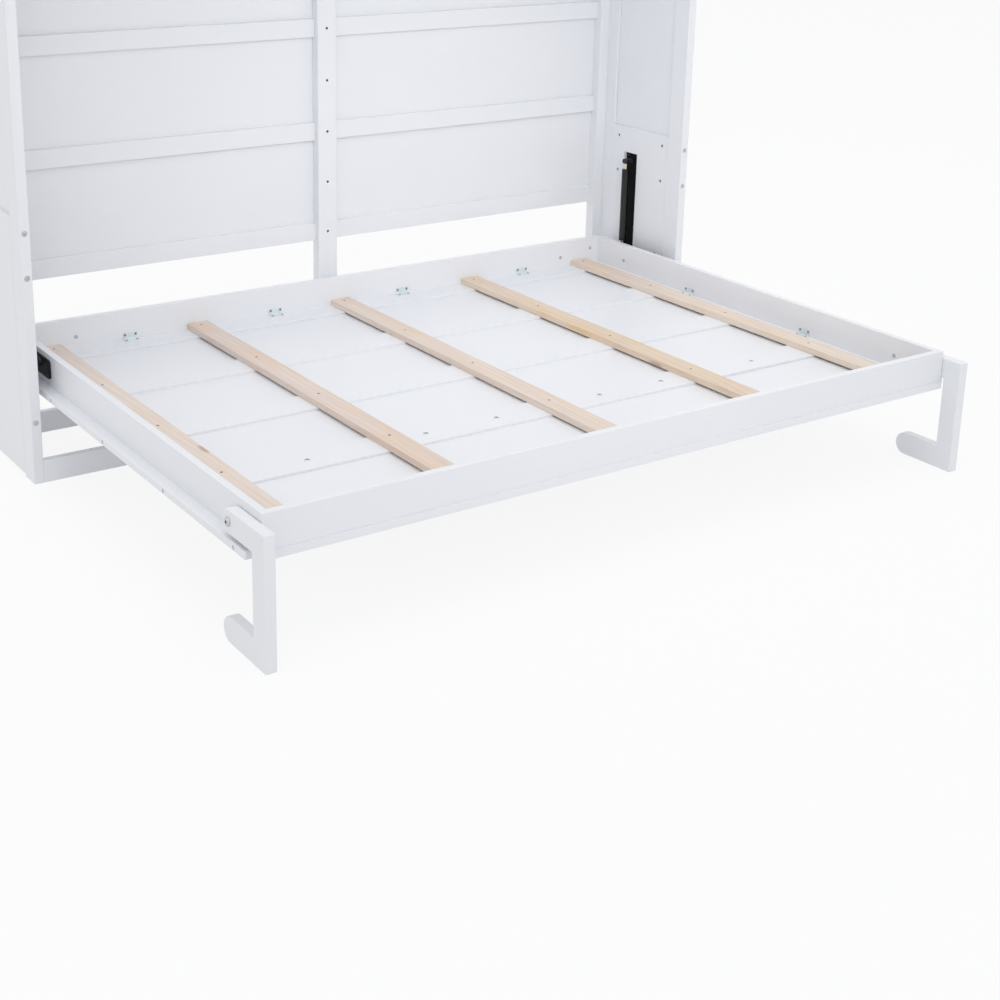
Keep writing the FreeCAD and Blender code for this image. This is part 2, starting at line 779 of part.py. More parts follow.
def angle_brackets():
    """Angle brackets that hold the rails to the door, along all four rails."""
    leg = S.bracket_leg
    thick = S.bracket_thick
    corners = [(0, 0), (leg, 0), (leg, thick), (thick, thick), (thick, leg), (0, leg)]
    bracket = plate("bracket", "XZ_Plane", corners, S.bracket_width)
    half = S.bracket_width / 2
    inner = S.bracket_inner_share * rail_inner_x
    outer = S.bracket_outer_share * rail_inner_x
    places = (-outer, -inner, inner, outer)
    front_y = bed_front + S.rail_thick
    back_y = bed_back - S.rail_thick
    forward = FreeCAD.Rotation(FreeCAD.Vector(0, 0, 1), -90)
    rearward = FreeCAD.Rotation(FreeCAD.Vector(0, 0, 1), 90)
    around = FreeCAD.Rotation(FreeCAD.Vector(0, 0, 1), 180)
    pieces = copies("back_bracket", bracket, [(x - half, back_y, door_top) for x in places], forward)
    pieces += copies("front_bracket", bracket, [(x + half, front_y, door_top) for x in places], rearward)
    spread = S.bracket_side_share * S.bed_depth
    rows = (bed_middle - spread, bed_middle + spread)
    pieces += copies("left_bracket", bracket, [(-rail_inner_x, row - half, door_top) for row in rows])
    pieces += copies("right_bracket", bracket, [(rail_inner_x, row + half, door_top) for row in rows], around)
    node(group("angle_brackets", pieces), "angle_brackets")


def legs():
    """C-shaped legs that stand in front of the bed and swing up beside its rails."""
    front = bed_front - S.leg_clear - S.leg_width
    upright = front + S.leg_width
    foot_middle = front + S.leg_foot_reach - S.leg_foot / 2
    corners = [
        (front, 0),
        (foot_middle, 0, (foot_middle, S.leg_foot / 2)),
        (foot_middle, S.leg_foot),
        (upright, S.leg_foot),
        (upright, leg_top - S.leg_arm),
        (leg_pivot_y, leg_top - S.leg_arm, (leg_pivot_y, leg_pivot_z)),
        (leg_pivot_y, leg_top),
        (front, leg_top),
    ]
    blank = eased(plate("leg_blank", "YZ_Plane", corners, S.leg_thick), S.leg_edge)
    place(blank, (leg_inner_x, 0, 0))
    hole = rod("leg_hole", S.leg_bolt_radius + S.running_gap,
               (leg_inner_x - S.cut_overrun, leg_pivot_y, leg_pivot_z), (1, 0, 0),
               S.leg_thick + 2 * S.cut_overrun)
    pair("leg", cut("right_leg", blank, [hole]))


def leg_fasteners():
    """Leg pivot bolts through the side rails, with their nuts and the washers that space the legs."""
    nut_x = rail_inner_x - S.leg_nut
    shank = leg_inner_x + S.leg_thick + S.loose_gap - nut_x
    bolt = turned("leg_bolt", stepped((
        (shank, S.leg_bolt_radius),
        (shank + S.leg_bolt_head, S.leg_bolt_head_radius),
    )))
    place(bolt, (nut_x, leg_pivot_y, leg_pivot_z))
    nut = leg_ring("leg_nut", S.leg_nut_radius, nut_x, S.leg_nut)
    washer = leg_ring("leg_washer", S.leg_washer_radius, half_bed, S.leg_washer)
    both_sides("leg_bolts", [bolt, nut])
    both_sides("leg_washers", [washer])


def leg_ring(name, radius, start, length):
    """A ring round a leg's pivot bolt."""
    blank = rod(f"{name}_blank", radius, (start, leg_pivot_y, leg_pivot_z), (1, 0, 0), length)
    hole = rod(f"{name}_hole", S.leg_bolt_radius + S.running_gap,
               (start - S.cut_overrun, leg_pivot_y, leg_pivot_z), (1, 0, 0), length + 2 * S.cut_overrun)
    return cut(name, blank, [hole])


def bed_pivots():
    """Steel plates on the side rails, the pins they carry and the cabinet's flanged bushes."""
    low = (pivot_y - S.hinge_plate_front, S.pivot_height - S.hinge_plate_below)
    high = (pivot_y + S.hinge_plate_back_share * tail, S.pivot_height + S.hinge_plate_above)
    hinge = plate("hinge_plate", "YZ_Plane", rounded(low, high, S.hinge_plate_corner), S.hinge_plate_thick)
    place(hinge, (half_bed, 0, 0))
    both_sides("hinge_plates", [hinge])
    start = half_bed + S.hinge_plate_thick
    reach = inner_x + S.bush_length - S.loose_gap - start
    pin = turned("pivot_pin", stepped(((S.pin_collar, S.pin_collar_radius), (reach, S.pin_radius))))
    place(pin, (start, pivot_y, S.pivot_height))
    both_sides("pivot_pins", [pin])
    hole = S.pin_radius + S.running_gap
    end = S.bush_flange + S.bush_length
    section = [(0, hole), (end, hole), (end, S.bush_radius), (S.bush_flange, S.bush_radius),
               (S.bush_flange, S.bush_flange_radius), (0, S.bush_flange_radius)]
    bush = turned("pivot_bush", section)
    place(bush, (inner_x - S.bush_flange, pivot_y, S.pivot_height))
    both_sides("pivot_bushes", [bush])


def strut_studs():
    """Steel plate in each side's recess and the ball stud that carries the strut's upper end."""
    half_plate = S.slot_width / 2 - S.loose_gap
    low = (strut_plate_x, strut_y - half_plate, slot_bottom + S.loose_gap)
    high = (inner_x + S.slot_depth, strut_y + half_plate, slot_top - S.loose_gap)
    pair("strut_plate", board("right_strut_plate", low, high))
    length = strut_plate_x - strut_x
    neck = Size(math.sqrt(S.strut_ball_radius.value ** 2 - S.stud_radius.value ** 2),
                f"sqrt({S.strut_ball_radius.text} ^ 2 - {S.stud_radius.text} ^ 2)")
    ball_end = length + S.strut_ball_radius
    section = [
        (0, 0),
        (ball_end, 0, (length, 0)),
        (length - neck, S.stud_radius),
        (S.stud_nut, S.stud_radius),
        (S.stud_nut, S.stud_nut_radius),
        (0, S.stud_nut_radius),
    ]
    stud = turned("ball_stud", section)
    stud.Placement = FreeCAD.Placement(FreeCAD.Vector(), FreeCAD.Rotation(FreeCAD.Vector(0, 0, 1), 180))
    place(stud, (strut_plate_x, strut_y, S.strut_top_height))
    both_sides("ball_studs", [stud])


def gas_struts():
    """Gas struts: a tube with its upper socket, the gland in its mouth, the rod and the rod's end fitting."""
    bore = S.strut_tube_radius - S.strut_wall
    tube_top = -S.strut_tube_top_gap
    tube_bottom = strut_foot_z + S.strut_rod_shown - S.strut_top_height
    tube = turned("strut_tube", [
        (0, tube_top - S.strut_cap),
        (bore, tube_top - S.strut_cap),
        (bore, tube_bottom),
        (S.strut_tube_radius, tube_bottom),
        (S.strut_tube_radius, tube_top),
        (S.strut_neck_radius, tube_top),
        (S.strut_neck_radius, 0),
        (0, 0),
    ], upright=True)
    place(tube, (strut_x, strut_y, S.strut_top_height))
    half_socket = S.strut_socket_length / 2
    socket = rod("strut_socket", S.strut_socket_radius, (strut_x - half_socket, strut_y, S.strut_top_height),
                 (1, 0, 0), S.strut_socket_length)
    pocket_radius = S.strut_ball_radius + S.loose_gap
    pocket = rod("strut_pocket", pocket_radius, (strut_x - pocket_radius, strut_y, S.strut_top_height),
                 (1, 0, 0), S.strut_socket_length + S.cut_overrun)
    pair("strut_tube", cut("right_strut_tube", fuse("strut_tube_blank", [tube, socket]), [pocket]))
    gland = turned("right_strut_gland", [
        (S.strut_rod_radius + S.running_gap, tube_bottom),
        (bore - S.running_gap, tube_bottom),
        (bore - S.running_gap, tube_bottom + S.strut_gland),
        (S.strut_rod_radius + S.running_gap, tube_bottom + S.strut_gland),
    ], upright=True)
    place(gland, (strut_x, strut_y, S.strut_top_height))
    pair("strut_gland", gland)
    piston_top = tube_top - S.strut_cap - S.strut_piston_top_gap
    piston_bottom = piston_top - S.strut_piston
    rod_bottom = strut_foot_z - S.strut_top_height + S.strut_socket_length
    ram = turned("right_strut_rod", [
        (0, rod_bottom),
        (S.strut_rod_radius, rod_bottom),
        (S.strut_rod_radius, piston_bottom),
        (bore - S.loose_gap, piston_bottom),
        (bore - S.loose_gap, piston_top),
        (0, piston_top),
    ], upright=True)
    place(ram, (strut_x, strut_y, S.strut_top_height))
    pair("strut_rod", ram)
    pair("strut_foot", strut_foot())


def strut_foot():
    """Rod's end fitting with its own short stud, which stops just clear of the bed's hinge plate."""
    start = half_bed + S.hinge_plate_thick + S.loose_gap
    socket_start = strut_x - S.strut_socket_length / 2 - start
    stud = turned("foot_stud", stepped((
        (S.stud_nut, S.stud_nut_radius),
        (socket_start, S.stud_radius),
        (socket_start + S.strut_socket_length, S.strut_socket_radius),
    )))
    place(stud, (start, strut_y, strut_foot_z))
    neck = rod("foot_neck", S.strut_neck_radius, (strut_x, strut_y, strut_foot_z), (0, 0, 1),
               S.strut_socket_length)
    return fuse("right_strut_foot", [stud, neck])


def build():
    """Makes every sub-part of the bed and the cabinet."""
    side_frames()
    cabinet_fasteners()
    back_frame()
    cabinet_top_and_floor_rails()
    bed_rails()
    screw_hole = turned("slat_screw_hole", slat_screw_half_section(S.running_gap), upright=True)
    door(screw_hole)
    slats(screw_hole)
    handles()
    angle_brackets()
    legs()
    leg_fasteners()
    bed_pivots()
    strut_studs()
    gas_struts()


def check_and_write():
    """Recomputes the document, stops on any failed object and writes one STEP file a node."""
    DOC.recompute()
    for thing in DOC.Objects:
        if "Invalid" in thing.State or "Error" in thing.State:
            raise RuntimeError(f"{thing.Label} failed: {thing.State}")
    for piece in NODES:
        if piece.Shape.isNull() or not piece.Shape.isValid():
            raise RuntimeError(f"{piece.Label} has no valid shape")
    os.makedirs("parts", exist_ok=True)
    for piece in NODES:
        piece.Shape.exportStep(os.path.join("parts", f"{piece.Label}.step"))
        print(piece.Label, len(piece.Shape.Solids), round(piece.Shape.Volume))


build()
check_and_write()
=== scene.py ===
"""Sideways wall bed, folded down: finishes, small fasteners, light and camera round the CAD frame."""
import logging
import math
from dataclasses import dataclass
from enum import Enum
from typing import Any, Dict, List, Optional, Sequence, Tuple, Union

import bpy
import numpy as np
from mathutils import Matrix, Vector


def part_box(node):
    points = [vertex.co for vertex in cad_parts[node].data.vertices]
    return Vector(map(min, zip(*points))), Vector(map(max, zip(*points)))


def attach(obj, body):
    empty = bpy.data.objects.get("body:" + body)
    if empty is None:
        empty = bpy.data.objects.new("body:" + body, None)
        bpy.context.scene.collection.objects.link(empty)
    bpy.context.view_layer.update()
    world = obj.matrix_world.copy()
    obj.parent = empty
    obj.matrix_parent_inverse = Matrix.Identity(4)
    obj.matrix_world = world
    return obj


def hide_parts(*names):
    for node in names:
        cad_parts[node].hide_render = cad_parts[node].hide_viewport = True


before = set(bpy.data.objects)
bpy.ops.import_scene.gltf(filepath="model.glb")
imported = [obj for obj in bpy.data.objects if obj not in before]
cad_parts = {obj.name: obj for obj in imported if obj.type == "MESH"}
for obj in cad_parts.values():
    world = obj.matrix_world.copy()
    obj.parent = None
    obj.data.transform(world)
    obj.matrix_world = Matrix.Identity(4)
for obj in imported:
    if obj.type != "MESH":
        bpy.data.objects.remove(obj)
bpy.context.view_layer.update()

LOG = logging.getLogger("wall_bed")

Colour = Tuple[float, float, float]
Point = Tuple[float, float, float]
Spot = Tuple[float, float]

ORIGIN: Point = (0.0, 0.0, 0.0)
UP = np.array([0.0, 0.0, 1.0])
WHITE = (1.0, 1.0, 1.0, 1.0)


class Grain(Enum):
    """Which way the wood under a finish runs."""

    ALONG_X = 0
    ALONG_Y = 1
    ALONG_Z = 2


class Recess(Enum):
    """The driver's hole in a fastener's head."""

    CROSS = "cross"
    HEX = "hex"


BoardSet = Tuple[Grain, Tuple[str, ...]]


# Shader helpers

# Sockets of a Mix node for colours, by number because its other kinds share their names
MIX_SHARE, MIX_LOW, MIX_HIGH, MIX_RESULT = 0, 6, 7, 2


class Value:
    """What a node gives: arithmetic on it adds Math nodes to its tree."""

    def __init__(self, tree: "Tree", socket: bpy.types.NodeSocket) -> None:
        """Keeps the tree that the value belongs to and the socket that gives it."""
        self.tree = tree
        self.socket = socket

    def _math(self, operation: str, left: Any, right: Any = 0.0) -> "Value":
        """Joins two values by one Math node."""
        return self.tree.value("ShaderNodeMath", "Value", {"operation": operation}, {0: left, 1: right})

    def __add__(self, other: Any) -> "Value":
        """Sum with a value or a number."""
        return self._math("ADD", self, other)

    def __radd__(self, other: Any) -> "Value":
        """Sum with a number on the left."""
        return self._math("ADD", other, self)

    def __sub__(self, other: Any) -> "Value":
        """Difference to a value or a number."""
        return self._math("SUBTRACT", self, other)

    def __rsub__(self, other: Any) -> "Value":
        """Difference from a number on the left."""
        return self._math("SUBTRACT", other, self)

    def __mul__(self, other: Any) -> "Value":
        """Product with a value or a number."""
        return self._math("MULTIPLY", self, other)

    def __rmul__(self, other: Any) -> "Value":
        """Product with a number on the left."""
        return self._math("MULTIPLY", other, self)

    def __pow__(self, other: Any) -> "Value":
        """Power of a value."""
        return self._math("POWER", self, other)

    def __mod__(self, other: Any) -> "Value":
        """What is left after whole steps, never below zero."""
        return self._math("FLOORED_MODULO", self, other)

    def __gt__(self, other: Any) -> "Value":
        """One where the value is above a limit, otherwise zero."""
        return self._math("GREATER_THAN", self, other)

    def sine(self) -> "Value":
        """Sine of the value in radians."""
        return self._math("SINE", self)

    def most(self, other: Any) -> "Value":
        """The larger of two values."""
        return self._math("MAXIMUM", self, other)

    def ramp(self, low: float, high: float) -> "Value":
        """Zero below one limit and one above the other, smooth between them."""
        return self.tree.value("ShaderNodeMapRange", "Result", {"interpolation_type": "SMOOTHSTEP"},
                               {"Value": self, "From Min": low, "From Max": high})


class Tree:
    """The nodes of one material or world."""

    def __init__(self, owner: Union[bpy.types.Material, bpy.types.World]) -> None:
        """Empties the owner's tree, ready for new nodes.

        Args:
            owner: The material or world.
        """
        owner.use_nodes = True
        self.tree = owner.node_tree
        self.tree.nodes.clear()

    def node(self, kind: str, settings: Dict[str, Any], inputs: Dict[Any, Any]) -> bpy.types.Node:
        """Adds one node.

        Args:
            kind: The node's type.
            settings: The node's own properties, set first.
            inputs: Values or numbers by the name or number of a socket.

        Returns:
            The new node.
        """
        made = self.tree.nodes.new(kind)
        for name, setting in settings.items():
            setattr(made, name, setting)
        for name, given in inputs.items():
            if isinstance(given, Value):
                self.tree.links.new(given.socket, made.inputs[name])
            else:
                made.inputs[name].default_value = given
        return made

    def value(self, kind: str, output: Union[str, int], settings: Dict[str, Any],
              inputs: Dict[Any, Any]) -> Value:
        """Adds one node and wraps one of its outputs as a value."""
        return Value(self, self.node(kind, settings, inputs).outputs[output])

    def place(self) -> Value:
        """Object coordinates in metres."""
        return self.value("ShaderNodeTexCoord", "Object", {}, {})

    def axis(self, grain: Grain) -> Value:
        """One of the object coordinates, in metres."""
        return self.value("ShaderNodeSeparateXYZ", grain.value, {}, {"Vector": self.place()})

    def stretched(self, waves: Point, shift: Point) -> Value:
        """Object coordinates with so many waves to the metre along each axis, then shifted."""
        return self.value("ShaderNodeMapping", "Vector", {},
                          {"Vector": self.place(), "Location": shift, "Scale": waves})

    def noise(self, waves: Point, detail: float, rough: float, shift: Point = ORIGIN) -> Value:
        """Cloudy noise from zero to one."""
        return self.value("ShaderNodeTexNoise", "Fac", {}, {
            "Vector": self.stretched(waves, shift), "Scale": 1.0, "Detail": detail, "Roughness": rough})

    def cells(self, waves: Point, shift: Point = ORIGIN) -> Value:
        """Distance to the nearest of scattered points."""
        return self.value("ShaderNodeTexVoronoi", "Distance", {},
                          {"Vector": self.stretched(waves, shift), "Scale": 1.0})

    def blend(self, share: Value, low: Union[Value, Colour], high: Colour) -> Value:
        """Mixes two colours.

        Args:
            share: How much of the second colour there is, from zero to one.
            low: The first colour, as numbers or as a value.
            high: The second colour.

        Returns:
            The mixed colour.
        """
        under = low if isinstance(low, Value) else (*low, 1.0)
        return self.value("ShaderNodeMix", MIX_RESULT, {"data_type": "RGBA"},
                          {MIX_SHARE: share, MIX_LOW: under, MIX_HIGH: (*high, 1.0)})

    def bump(self, height: Value, strength: float, depth: float) -> Value:
        """Normal of a fine relief, depth in metres."""
        return self.value("ShaderNodeBump", "Normal", {},
                          {"Height": height, "Strength": strength, "Distance": depth})

    def surface(self, inputs: Dict[str, Any]) -> None:
        """Ends the tree in one principled surface."""
        shader = self.value("ShaderNodeBsdfPrincipled", "BSDF", {}, inputs)
        self.node("ShaderNodeOutputMaterial", {}, {"Surface": shader})


def new_tree(name: str) -> Tuple[bpy.types.Material, Tree]:
    """A new material and its empty tree."""
    material = bpy.data.materials.new(name)
    return material, Tree(material)


def along(grain: Grain, lengthways: float, across: float) -> Point:
    """Waves to the metre of a pattern that is stretched along the grain."""
    x, y, z = (lengthways if axis is grain else across for axis in Grain)
    return (x, y, z)


def even(waves: float) -> Point:
    """Waves to the metre of a pattern that is the same along each axis."""
    return (waves, waves, waves)


# Finishes


@dataclass(frozen=True)
class HoleRow:
    """A row of screw holes up the middle of an upright board, whose walls are bare wood darkened with painted
    shade for the shadow inside the holes.
    """

    first: float
    pitch: float
    radius: float
    # bare wood's colour darkened with painted shade, standing in for the shadow inside each hole
    shaded_bare_wood: Colour = (0.30, 0.22, 0.15)
    fade: float = 0.0004

    def bore(self, tree: Tree, colour: Value) -> Value:
        """Bare wood darkened with painted shade where the distance from the nearest hole's axis is no more
        than the hole's radius.

        Args:
            tree: The nodes of the board's finish.
            colour: The board's colour outside the holes.

        Returns:
            The colour of the board and of its holes, whose walls carry painted shade.
        """
        half = self.pitch / 2.0
        across = tree.axis(Grain.ALONG_X)
        up = (tree.axis(Grain.ALONG_Z) - (self.first - half)) % self.pitch - half
        away = (across * across + up * up) ** 0.5
        return tree.blend(1.0 - away.ramp(self.radius, self.radius + self.fade), colour, self.shaded_bare_wood)


@dataclass(frozen=True)
class Lacquer:
    """Satin white lacquer sprayed on wood: cool white, a little cloudy, with the grain faint under it."""

    grain: Grain
    holes: Optional[HoleRow] = None
    shade: Colour = (0.815, 0.828, 0.862)
    light: Colour = (0.84, 0.851, 0.882)
    rough: float = 0.26
    relief: float = 0.00016
    coat: float = 0.08
    coat_rough: float = 0.25

    def make(self, name: str) -> bpy.types.Material:
        """Makes the finish.

        Args:
            name: The material's name.

        Returns:
            The material, whose colour, roughness and relief follow the grain.
        """
        material, tree = new_tree(name)
        streaks = tree.noise(along(self.grain, 4.8, 102.0), detail=5.0, rough=0.62)
        pores = tree.noise(along(self.grain, 28.0, 840.0), detail=3.0, rough=0.6)
        cloud = tree.noise(even(2.6), detail=3.0, rough=0.5)
        peel = tree.noise(even(700.0), detail=1.0, rough=0.5)
        colour = tree.blend((streaks * 0.4 + cloud * 0.6).ramp(0.2, 0.8), self.shade, self.light)
        tree.surface({
            "Base Color": self.holes.bore(tree, colour) if self.holes else colour,
            "Roughness": cloud * 0.14 + streaks * 0.10 + self.rough,
            "Normal": tree.bump(streaks * 0.4 + pores * 0.4 + peel * 0.2, 0.22, self.relief),
            "Coat Weight": self.coat,
            "Coat Roughness": self.coat_rough,
        })
        return material


@dataclass(frozen=True)
class Timber:
    """Bare planed softwood: wandering growth lines, fine fibres, warm patches and a few small knots."""

    pale: Colour
    late: Colour
    warm: Colour
    shift: float
    flush: float = 0.5
    knot: Colour = (0.36, 0.20, 0.10)
    knot_share: float = 0.55
    lines_across: float = 46.0
    lines_up: float = 30.0
    lines_bent: float = 11.0
    rough: float = 0.46
    relief: float = 0.0004

    def make(self, name: str) -> bpy.types.Material:
        """Makes the finish.

        Args:
            name: The material's name.

        Returns:
            The material, with its grain along Y and its own part of the log.
        """
        material, tree = new_tree(name)
        log = (self.shift, self.shift * 0.7, 0.0)
        wander = tree.noise((3.2, 0.75, 3.2), detail=2.0, rough=0.55, shift=log)
        turns = (tree.axis(Grain.ALONG_X) * self.lines_across + tree.axis(Grain.ALONG_Z) * self.lines_up
                 + wander * self.lines_bent)
        lines = ((turns * (2.0 * math.pi) + self.shift).sine() * 0.5 + 0.5) ** 2.4
        fibre = tree.noise((260.0, 5.0, 260.0), detail=4.0, rough=0.65, shift=log)
        streak = tree.noise((85.0, 1.9, 85.0), detail=3.0, rough=0.6, shift=log)
        broad = tree.noise((9.0, 1.3, 9.0), detail=3.0, rough=0.5, shift=log)
        share = (lines * 0.12 + streak * 0.42 + fibre * 0.34 + broad * 0.5).ramp(0.34, 1.02)
        patches = tree.noise((19.0, 3.1, 19.0), detail=4.0, rough=0.62, shift=log).ramp(0.46, 0.68)
        knots = 1.0 - tree.cells((11.0, 3.0, 11.0), log).ramp(0.045, 0.11)
        colour = tree.blend(patches * self.flush, tree.blend(share, self.pale, self.late), self.warm)
        tree.surface({
            "Base Color": tree.blend(knots * self.knot_share, colour, self.knot),
            "Roughness": fibre * 0.22 + self.rough,
            "Normal": tree.bump(fibre * 0.7 + lines * 0.3, 0.5, self.relief),
        })
        return material


@dataclass(frozen=True)
class Metal:
    """Bare or plated metal with a fine spangle and hairline scratches."""

    dark: Colour
    bright: Colour
    rough: float
    spangle: float = 900.0
    scratches: Point = (1500.0, 1500.0, 90.0)
    metallic: float = 1.0
    relief: float = 0.00008

    def make(self, name: str) -> bpy.types.Material:
        """Makes the finish.

        Args:
            name: The material's name.

        Returns:
            The material, whose tint and gloss change from grain to grain.
        """
        material, tree = new_tree(name)
        grainy = tree.cells(even(self.spangle))
        hair = tree.noise(self.scratches, detail=3.0, rough=0.6)
        smoke = tree.noise(even(60.0), detail=3.0, rough=0.5)
        tree.surface({
            "Base Color": tree.blend((grainy * 0.6 + smoke * 0.6).ramp(0.2, 0.9), self.dark, self.bright),
            "Metallic": self.metallic,
            "Roughness": smoke * 0.16 + hair * 0.10 + self.rough,
            "Normal": tree.bump(hair * 0.7 + grainy * 0.3, 0.25, self.relief),
        })
        return material


@dataclass(frozen=True)
class PowderCoat:
    """Black powder coat: a fine stipple, a little greyer where it is thin."""

    black: Colour = (0.004, 0.004, 0.005)
    worn: Colour = (0.010, 0.010, 0.011)
    rough: float = 0.38
    shine: float = 0.3
    relief: float = 0.00012

    def make(self, name: str) -> bpy.types.Material:
        """Makes the finish.

        Args:
            name: The material's name.

        Returns:
            The stippled black material.
        """
        material, tree = new_tree(name)
        stipple = tree.noise(even(1300.0), detail=2.0, rough=0.55)
        thin = tree.noise(even(36.0), detail=4.0, rough=0.6)
        tree.surface({
            "Base Color": tree.blend(thin.ramp(0.35, 0.75), self.black, self.worn),
            "Roughness": stipple * 0.14 + thin * 0.12 + self.rough,
            "Specular IOR Level": self.shine,
            "Normal": tree.bump(stipple, 0.3, self.relief),
        })
        return material


@dataclass(frozen=True)
class StrutCoat:
    """Gas strut: black painted tube and ball socket, with a pale plated neck between two heights."""

    neck_from: float
    neck_to: float
    black: Colour = (0.005, 0.005, 0.006)
    worn: Colour = (0.011, 0.011, 0.012)
    plated: Colour = (0.78, 0.72, 0.58)
    plated_metallic: float = 0.9
    rough: float = 0.16
    shine: float = 0.5
    relief: float = 0.00006

    def make(self, name: str) -> bpy.types.Material:
        """Makes the finish.

        Args:
            name: The material's name.

        Returns:
            The material, split by height into paint and plating.
        """
        material, tree = new_tree(name)
        height = tree.axis(Grain.ALONG_Z)
        neck = (height > self.neck_from) - (height > self.neck_to)
        smoke = tree.noise(even(70.0), detail=3.0, rough=0.55)
        drawn = tree.noise((900.0, 900.0, 30.0), detail=3.0, rough=0.6)
        colour = tree.blend(smoke.ramp(0.3, 0.8), self.black, self.worn)
        tree.surface({
            "Base Color": tree.blend(neck, colour, self.plated),
            "Metallic": neck * self.plated_metallic,
            "Roughness": smoke * 0.14 + self.rough,
            "Specular IOR Level": self.shine,
            "Normal": tree.bump(drawn, 0.15, self.relief),
        })
        return material


@dataclass(frozen=True)
class PaintedRecessShade:
    """Painted shade in a driver's recess: near-black metal, mottled at random with lighter dusty patches."""

    deep_shade: Colour = (0.03, 0.03, 0.032)
    dusty_shade: Colour = (0.14, 0.135, 0.13)
    metallic: float = 0.6
    rough: float = 0.45
    relief: float = 0.0001

    def make(self, name: str) -> bpy.types.Material:
        """Makes the finish.

        Args:
            name: The material's name.

        Returns:
            The material: painted shade, dark and mottled.
        """
        material, tree = new_tree(name)
        dust = tree.noise(even(420.0), detail=3.0, rough=0.6)
        tree.surface({
            "Base Color": tree.blend(dust.ramp(0.35, 0.8), self.deep_shade, self.dusty_shade),
            "Metallic": self.metallic,
            "Roughness": dust * 0.2 + self.rough,
            "Normal": tree.bump(dust, 0.3, self.relief),
        })
        return material


class Finishes:
    """Every finish of the bed, made once and shared."""

    def __init__(self) -> None:
        """Makes the materials."""
        self.lacquer: Dict[Grain, bpy.types.Material] = {
            grain: Lacquer(grain).make(f"white_lacquer_{grain.name.lower()}") for grain in Grain}
        # the centre stile's hole walls get bare wood darkened with painted shade
        holes = HoleRow(first=0.443, pitch=0.149, radius=0.0035)
        self.drilled = Lacquer(Grain.ALONG_Z, holes).make("white_lacquer_drilled")
        self.zinc = Metal((0.60, 0.65, 0.67), (0.76, 0.81, 0.83), rough=0.28).make("bright_zinc")
        self.plate_zinc = Metal((0.67, 0.75, 0.77), (0.81, 0.87, 0.89), rough=0.34, spangle=700.0,
                                metallic=0.40).make("pale_zinc")
        self.dull = Metal((0.36, 0.37, 0.38), (0.54, 0.55, 0.56), rough=0.34).make("dull_zinc")
        self.bolt = Metal((0.51, 0.53, 0.54), (0.65, 0.66, 0.67), rough=0.28).make("plain_zinc")
        self.screw = Metal((0.045, 0.042, 0.04), (0.10, 0.095, 0.09), rough=0.42).make("dark_screw_steel")
        self.brass = Metal((0.17, 0.12, 0.06), (0.30, 0.21, 0.11), rough=0.32).make("oiled_brass")
        self.rod = Metal((0.66, 0.67, 0.69), (0.80, 0.81, 0.83), rough=0.08, spangle=300.0,
                         scratches=along(Grain.ALONG_Z, 20.0, 2600.0)).make("ground_rod")
        self.black = PowderCoat().make("black_powder_coat")
        self.matt = PowderCoat((0.0025, 0.0025, 0.003), (0.007, 0.007, 0.008), rough=0.46,
                               shine=0.10).make("matt_black_coat")
        # painted shade for the recesses of screw, bolt and nut heads
        self.socket = PaintedRecessShade().make("painted_recess_shade")


# Mesh helpers

STEEP = 0.9  # a normal whose height is more than this is taken as upright
WELD_REACH = 0.00001
SHARP_ANGLE = math.radians(50.0)
EASE_STEPS = 2


def quads(rows: int, columns: int, closed: bool) -> np.ndarray:
    """Faces of a grid: cell (i, j) joins (i, j), (i, j+1), (i+1, j+1), (i+1, j); j wraps when closed.

    Args:
        rows: Points across the first parameter.
        columns: Points across the second parameter.
        closed: Whether the second parameter comes round to its start.

    Returns:
        Indices, four to a face.
    """
    cells = columns if closed else columns - 1
    i, j = np.meshgrid(np.arange(rows - 1), np.arange(cells), indexing="ij")
    after = (j + 1) % columns
    corners = [i * columns + j, i * columns + after, (i + 1) * columns + after, (i + 1) * columns + j]
    return np.stack(corners, axis=-1).reshape(-1, 4)


def frames(normals: np.ndarray, turns: np.ndarray) -> np.ndarray:
    """Axes for each place: the third axis is its normal, and the other two are turned about it.

    Args:
        normals: Unit normals, one row to a place.
        turns: Angles about each normal, in radians.

    Returns:
        Matrices whose rows are the three axes.
    """
    helper = np.where(np.abs(normals[:, 2:]) > STEEP, np.array([[1.0, 0.0, 0.0]]), UP)
    first = np.cross(helper, normals)
    first /= np.linalg.norm(first, axis=1, keepdims=True)
    second = np.cross(normals, first)
    cos, sin = np.cos(turns)[:, None], np.sin(turns)[:, None]
    return np.stack([first * cos + second * sin, second * cos - first * sin, normals], axis=1)


def make_object(name: str, points: np.ndarray, faces: List[List[int]]) -> bpy.types.Object:
    """Makes a mesh object at the origin, with its place in its points.

    Args:
        name: The object's name.
        points: Its points, one row each, in metres.
        faces: The points of each face, by number.

    Returns:
        The new object.
    """
    mesh = bpy.data.meshes.new(name)
    mesh.from_pydata(points.tolist(), [], faces)
    mesh.update()
    piece = bpy.data.objects.new(name, mesh)
    bpy.context.scene.collection.objects.link(piece)
    return piece


def paint(piece: bpy.types.Object, *materials: bpy.types.Material) -> None:
    """Gives an object its finishes in place of what it has.

    Args:
        piece: A CAD node, whose slots all get the first finish, or a new piece without slots.
        materials: The finishes.
    """
    for slot in piece.material_slots:
        slot.material = materials[0]
    if not piece.material_slots:
        for material in materials:
            piece.data.materials.append(material)


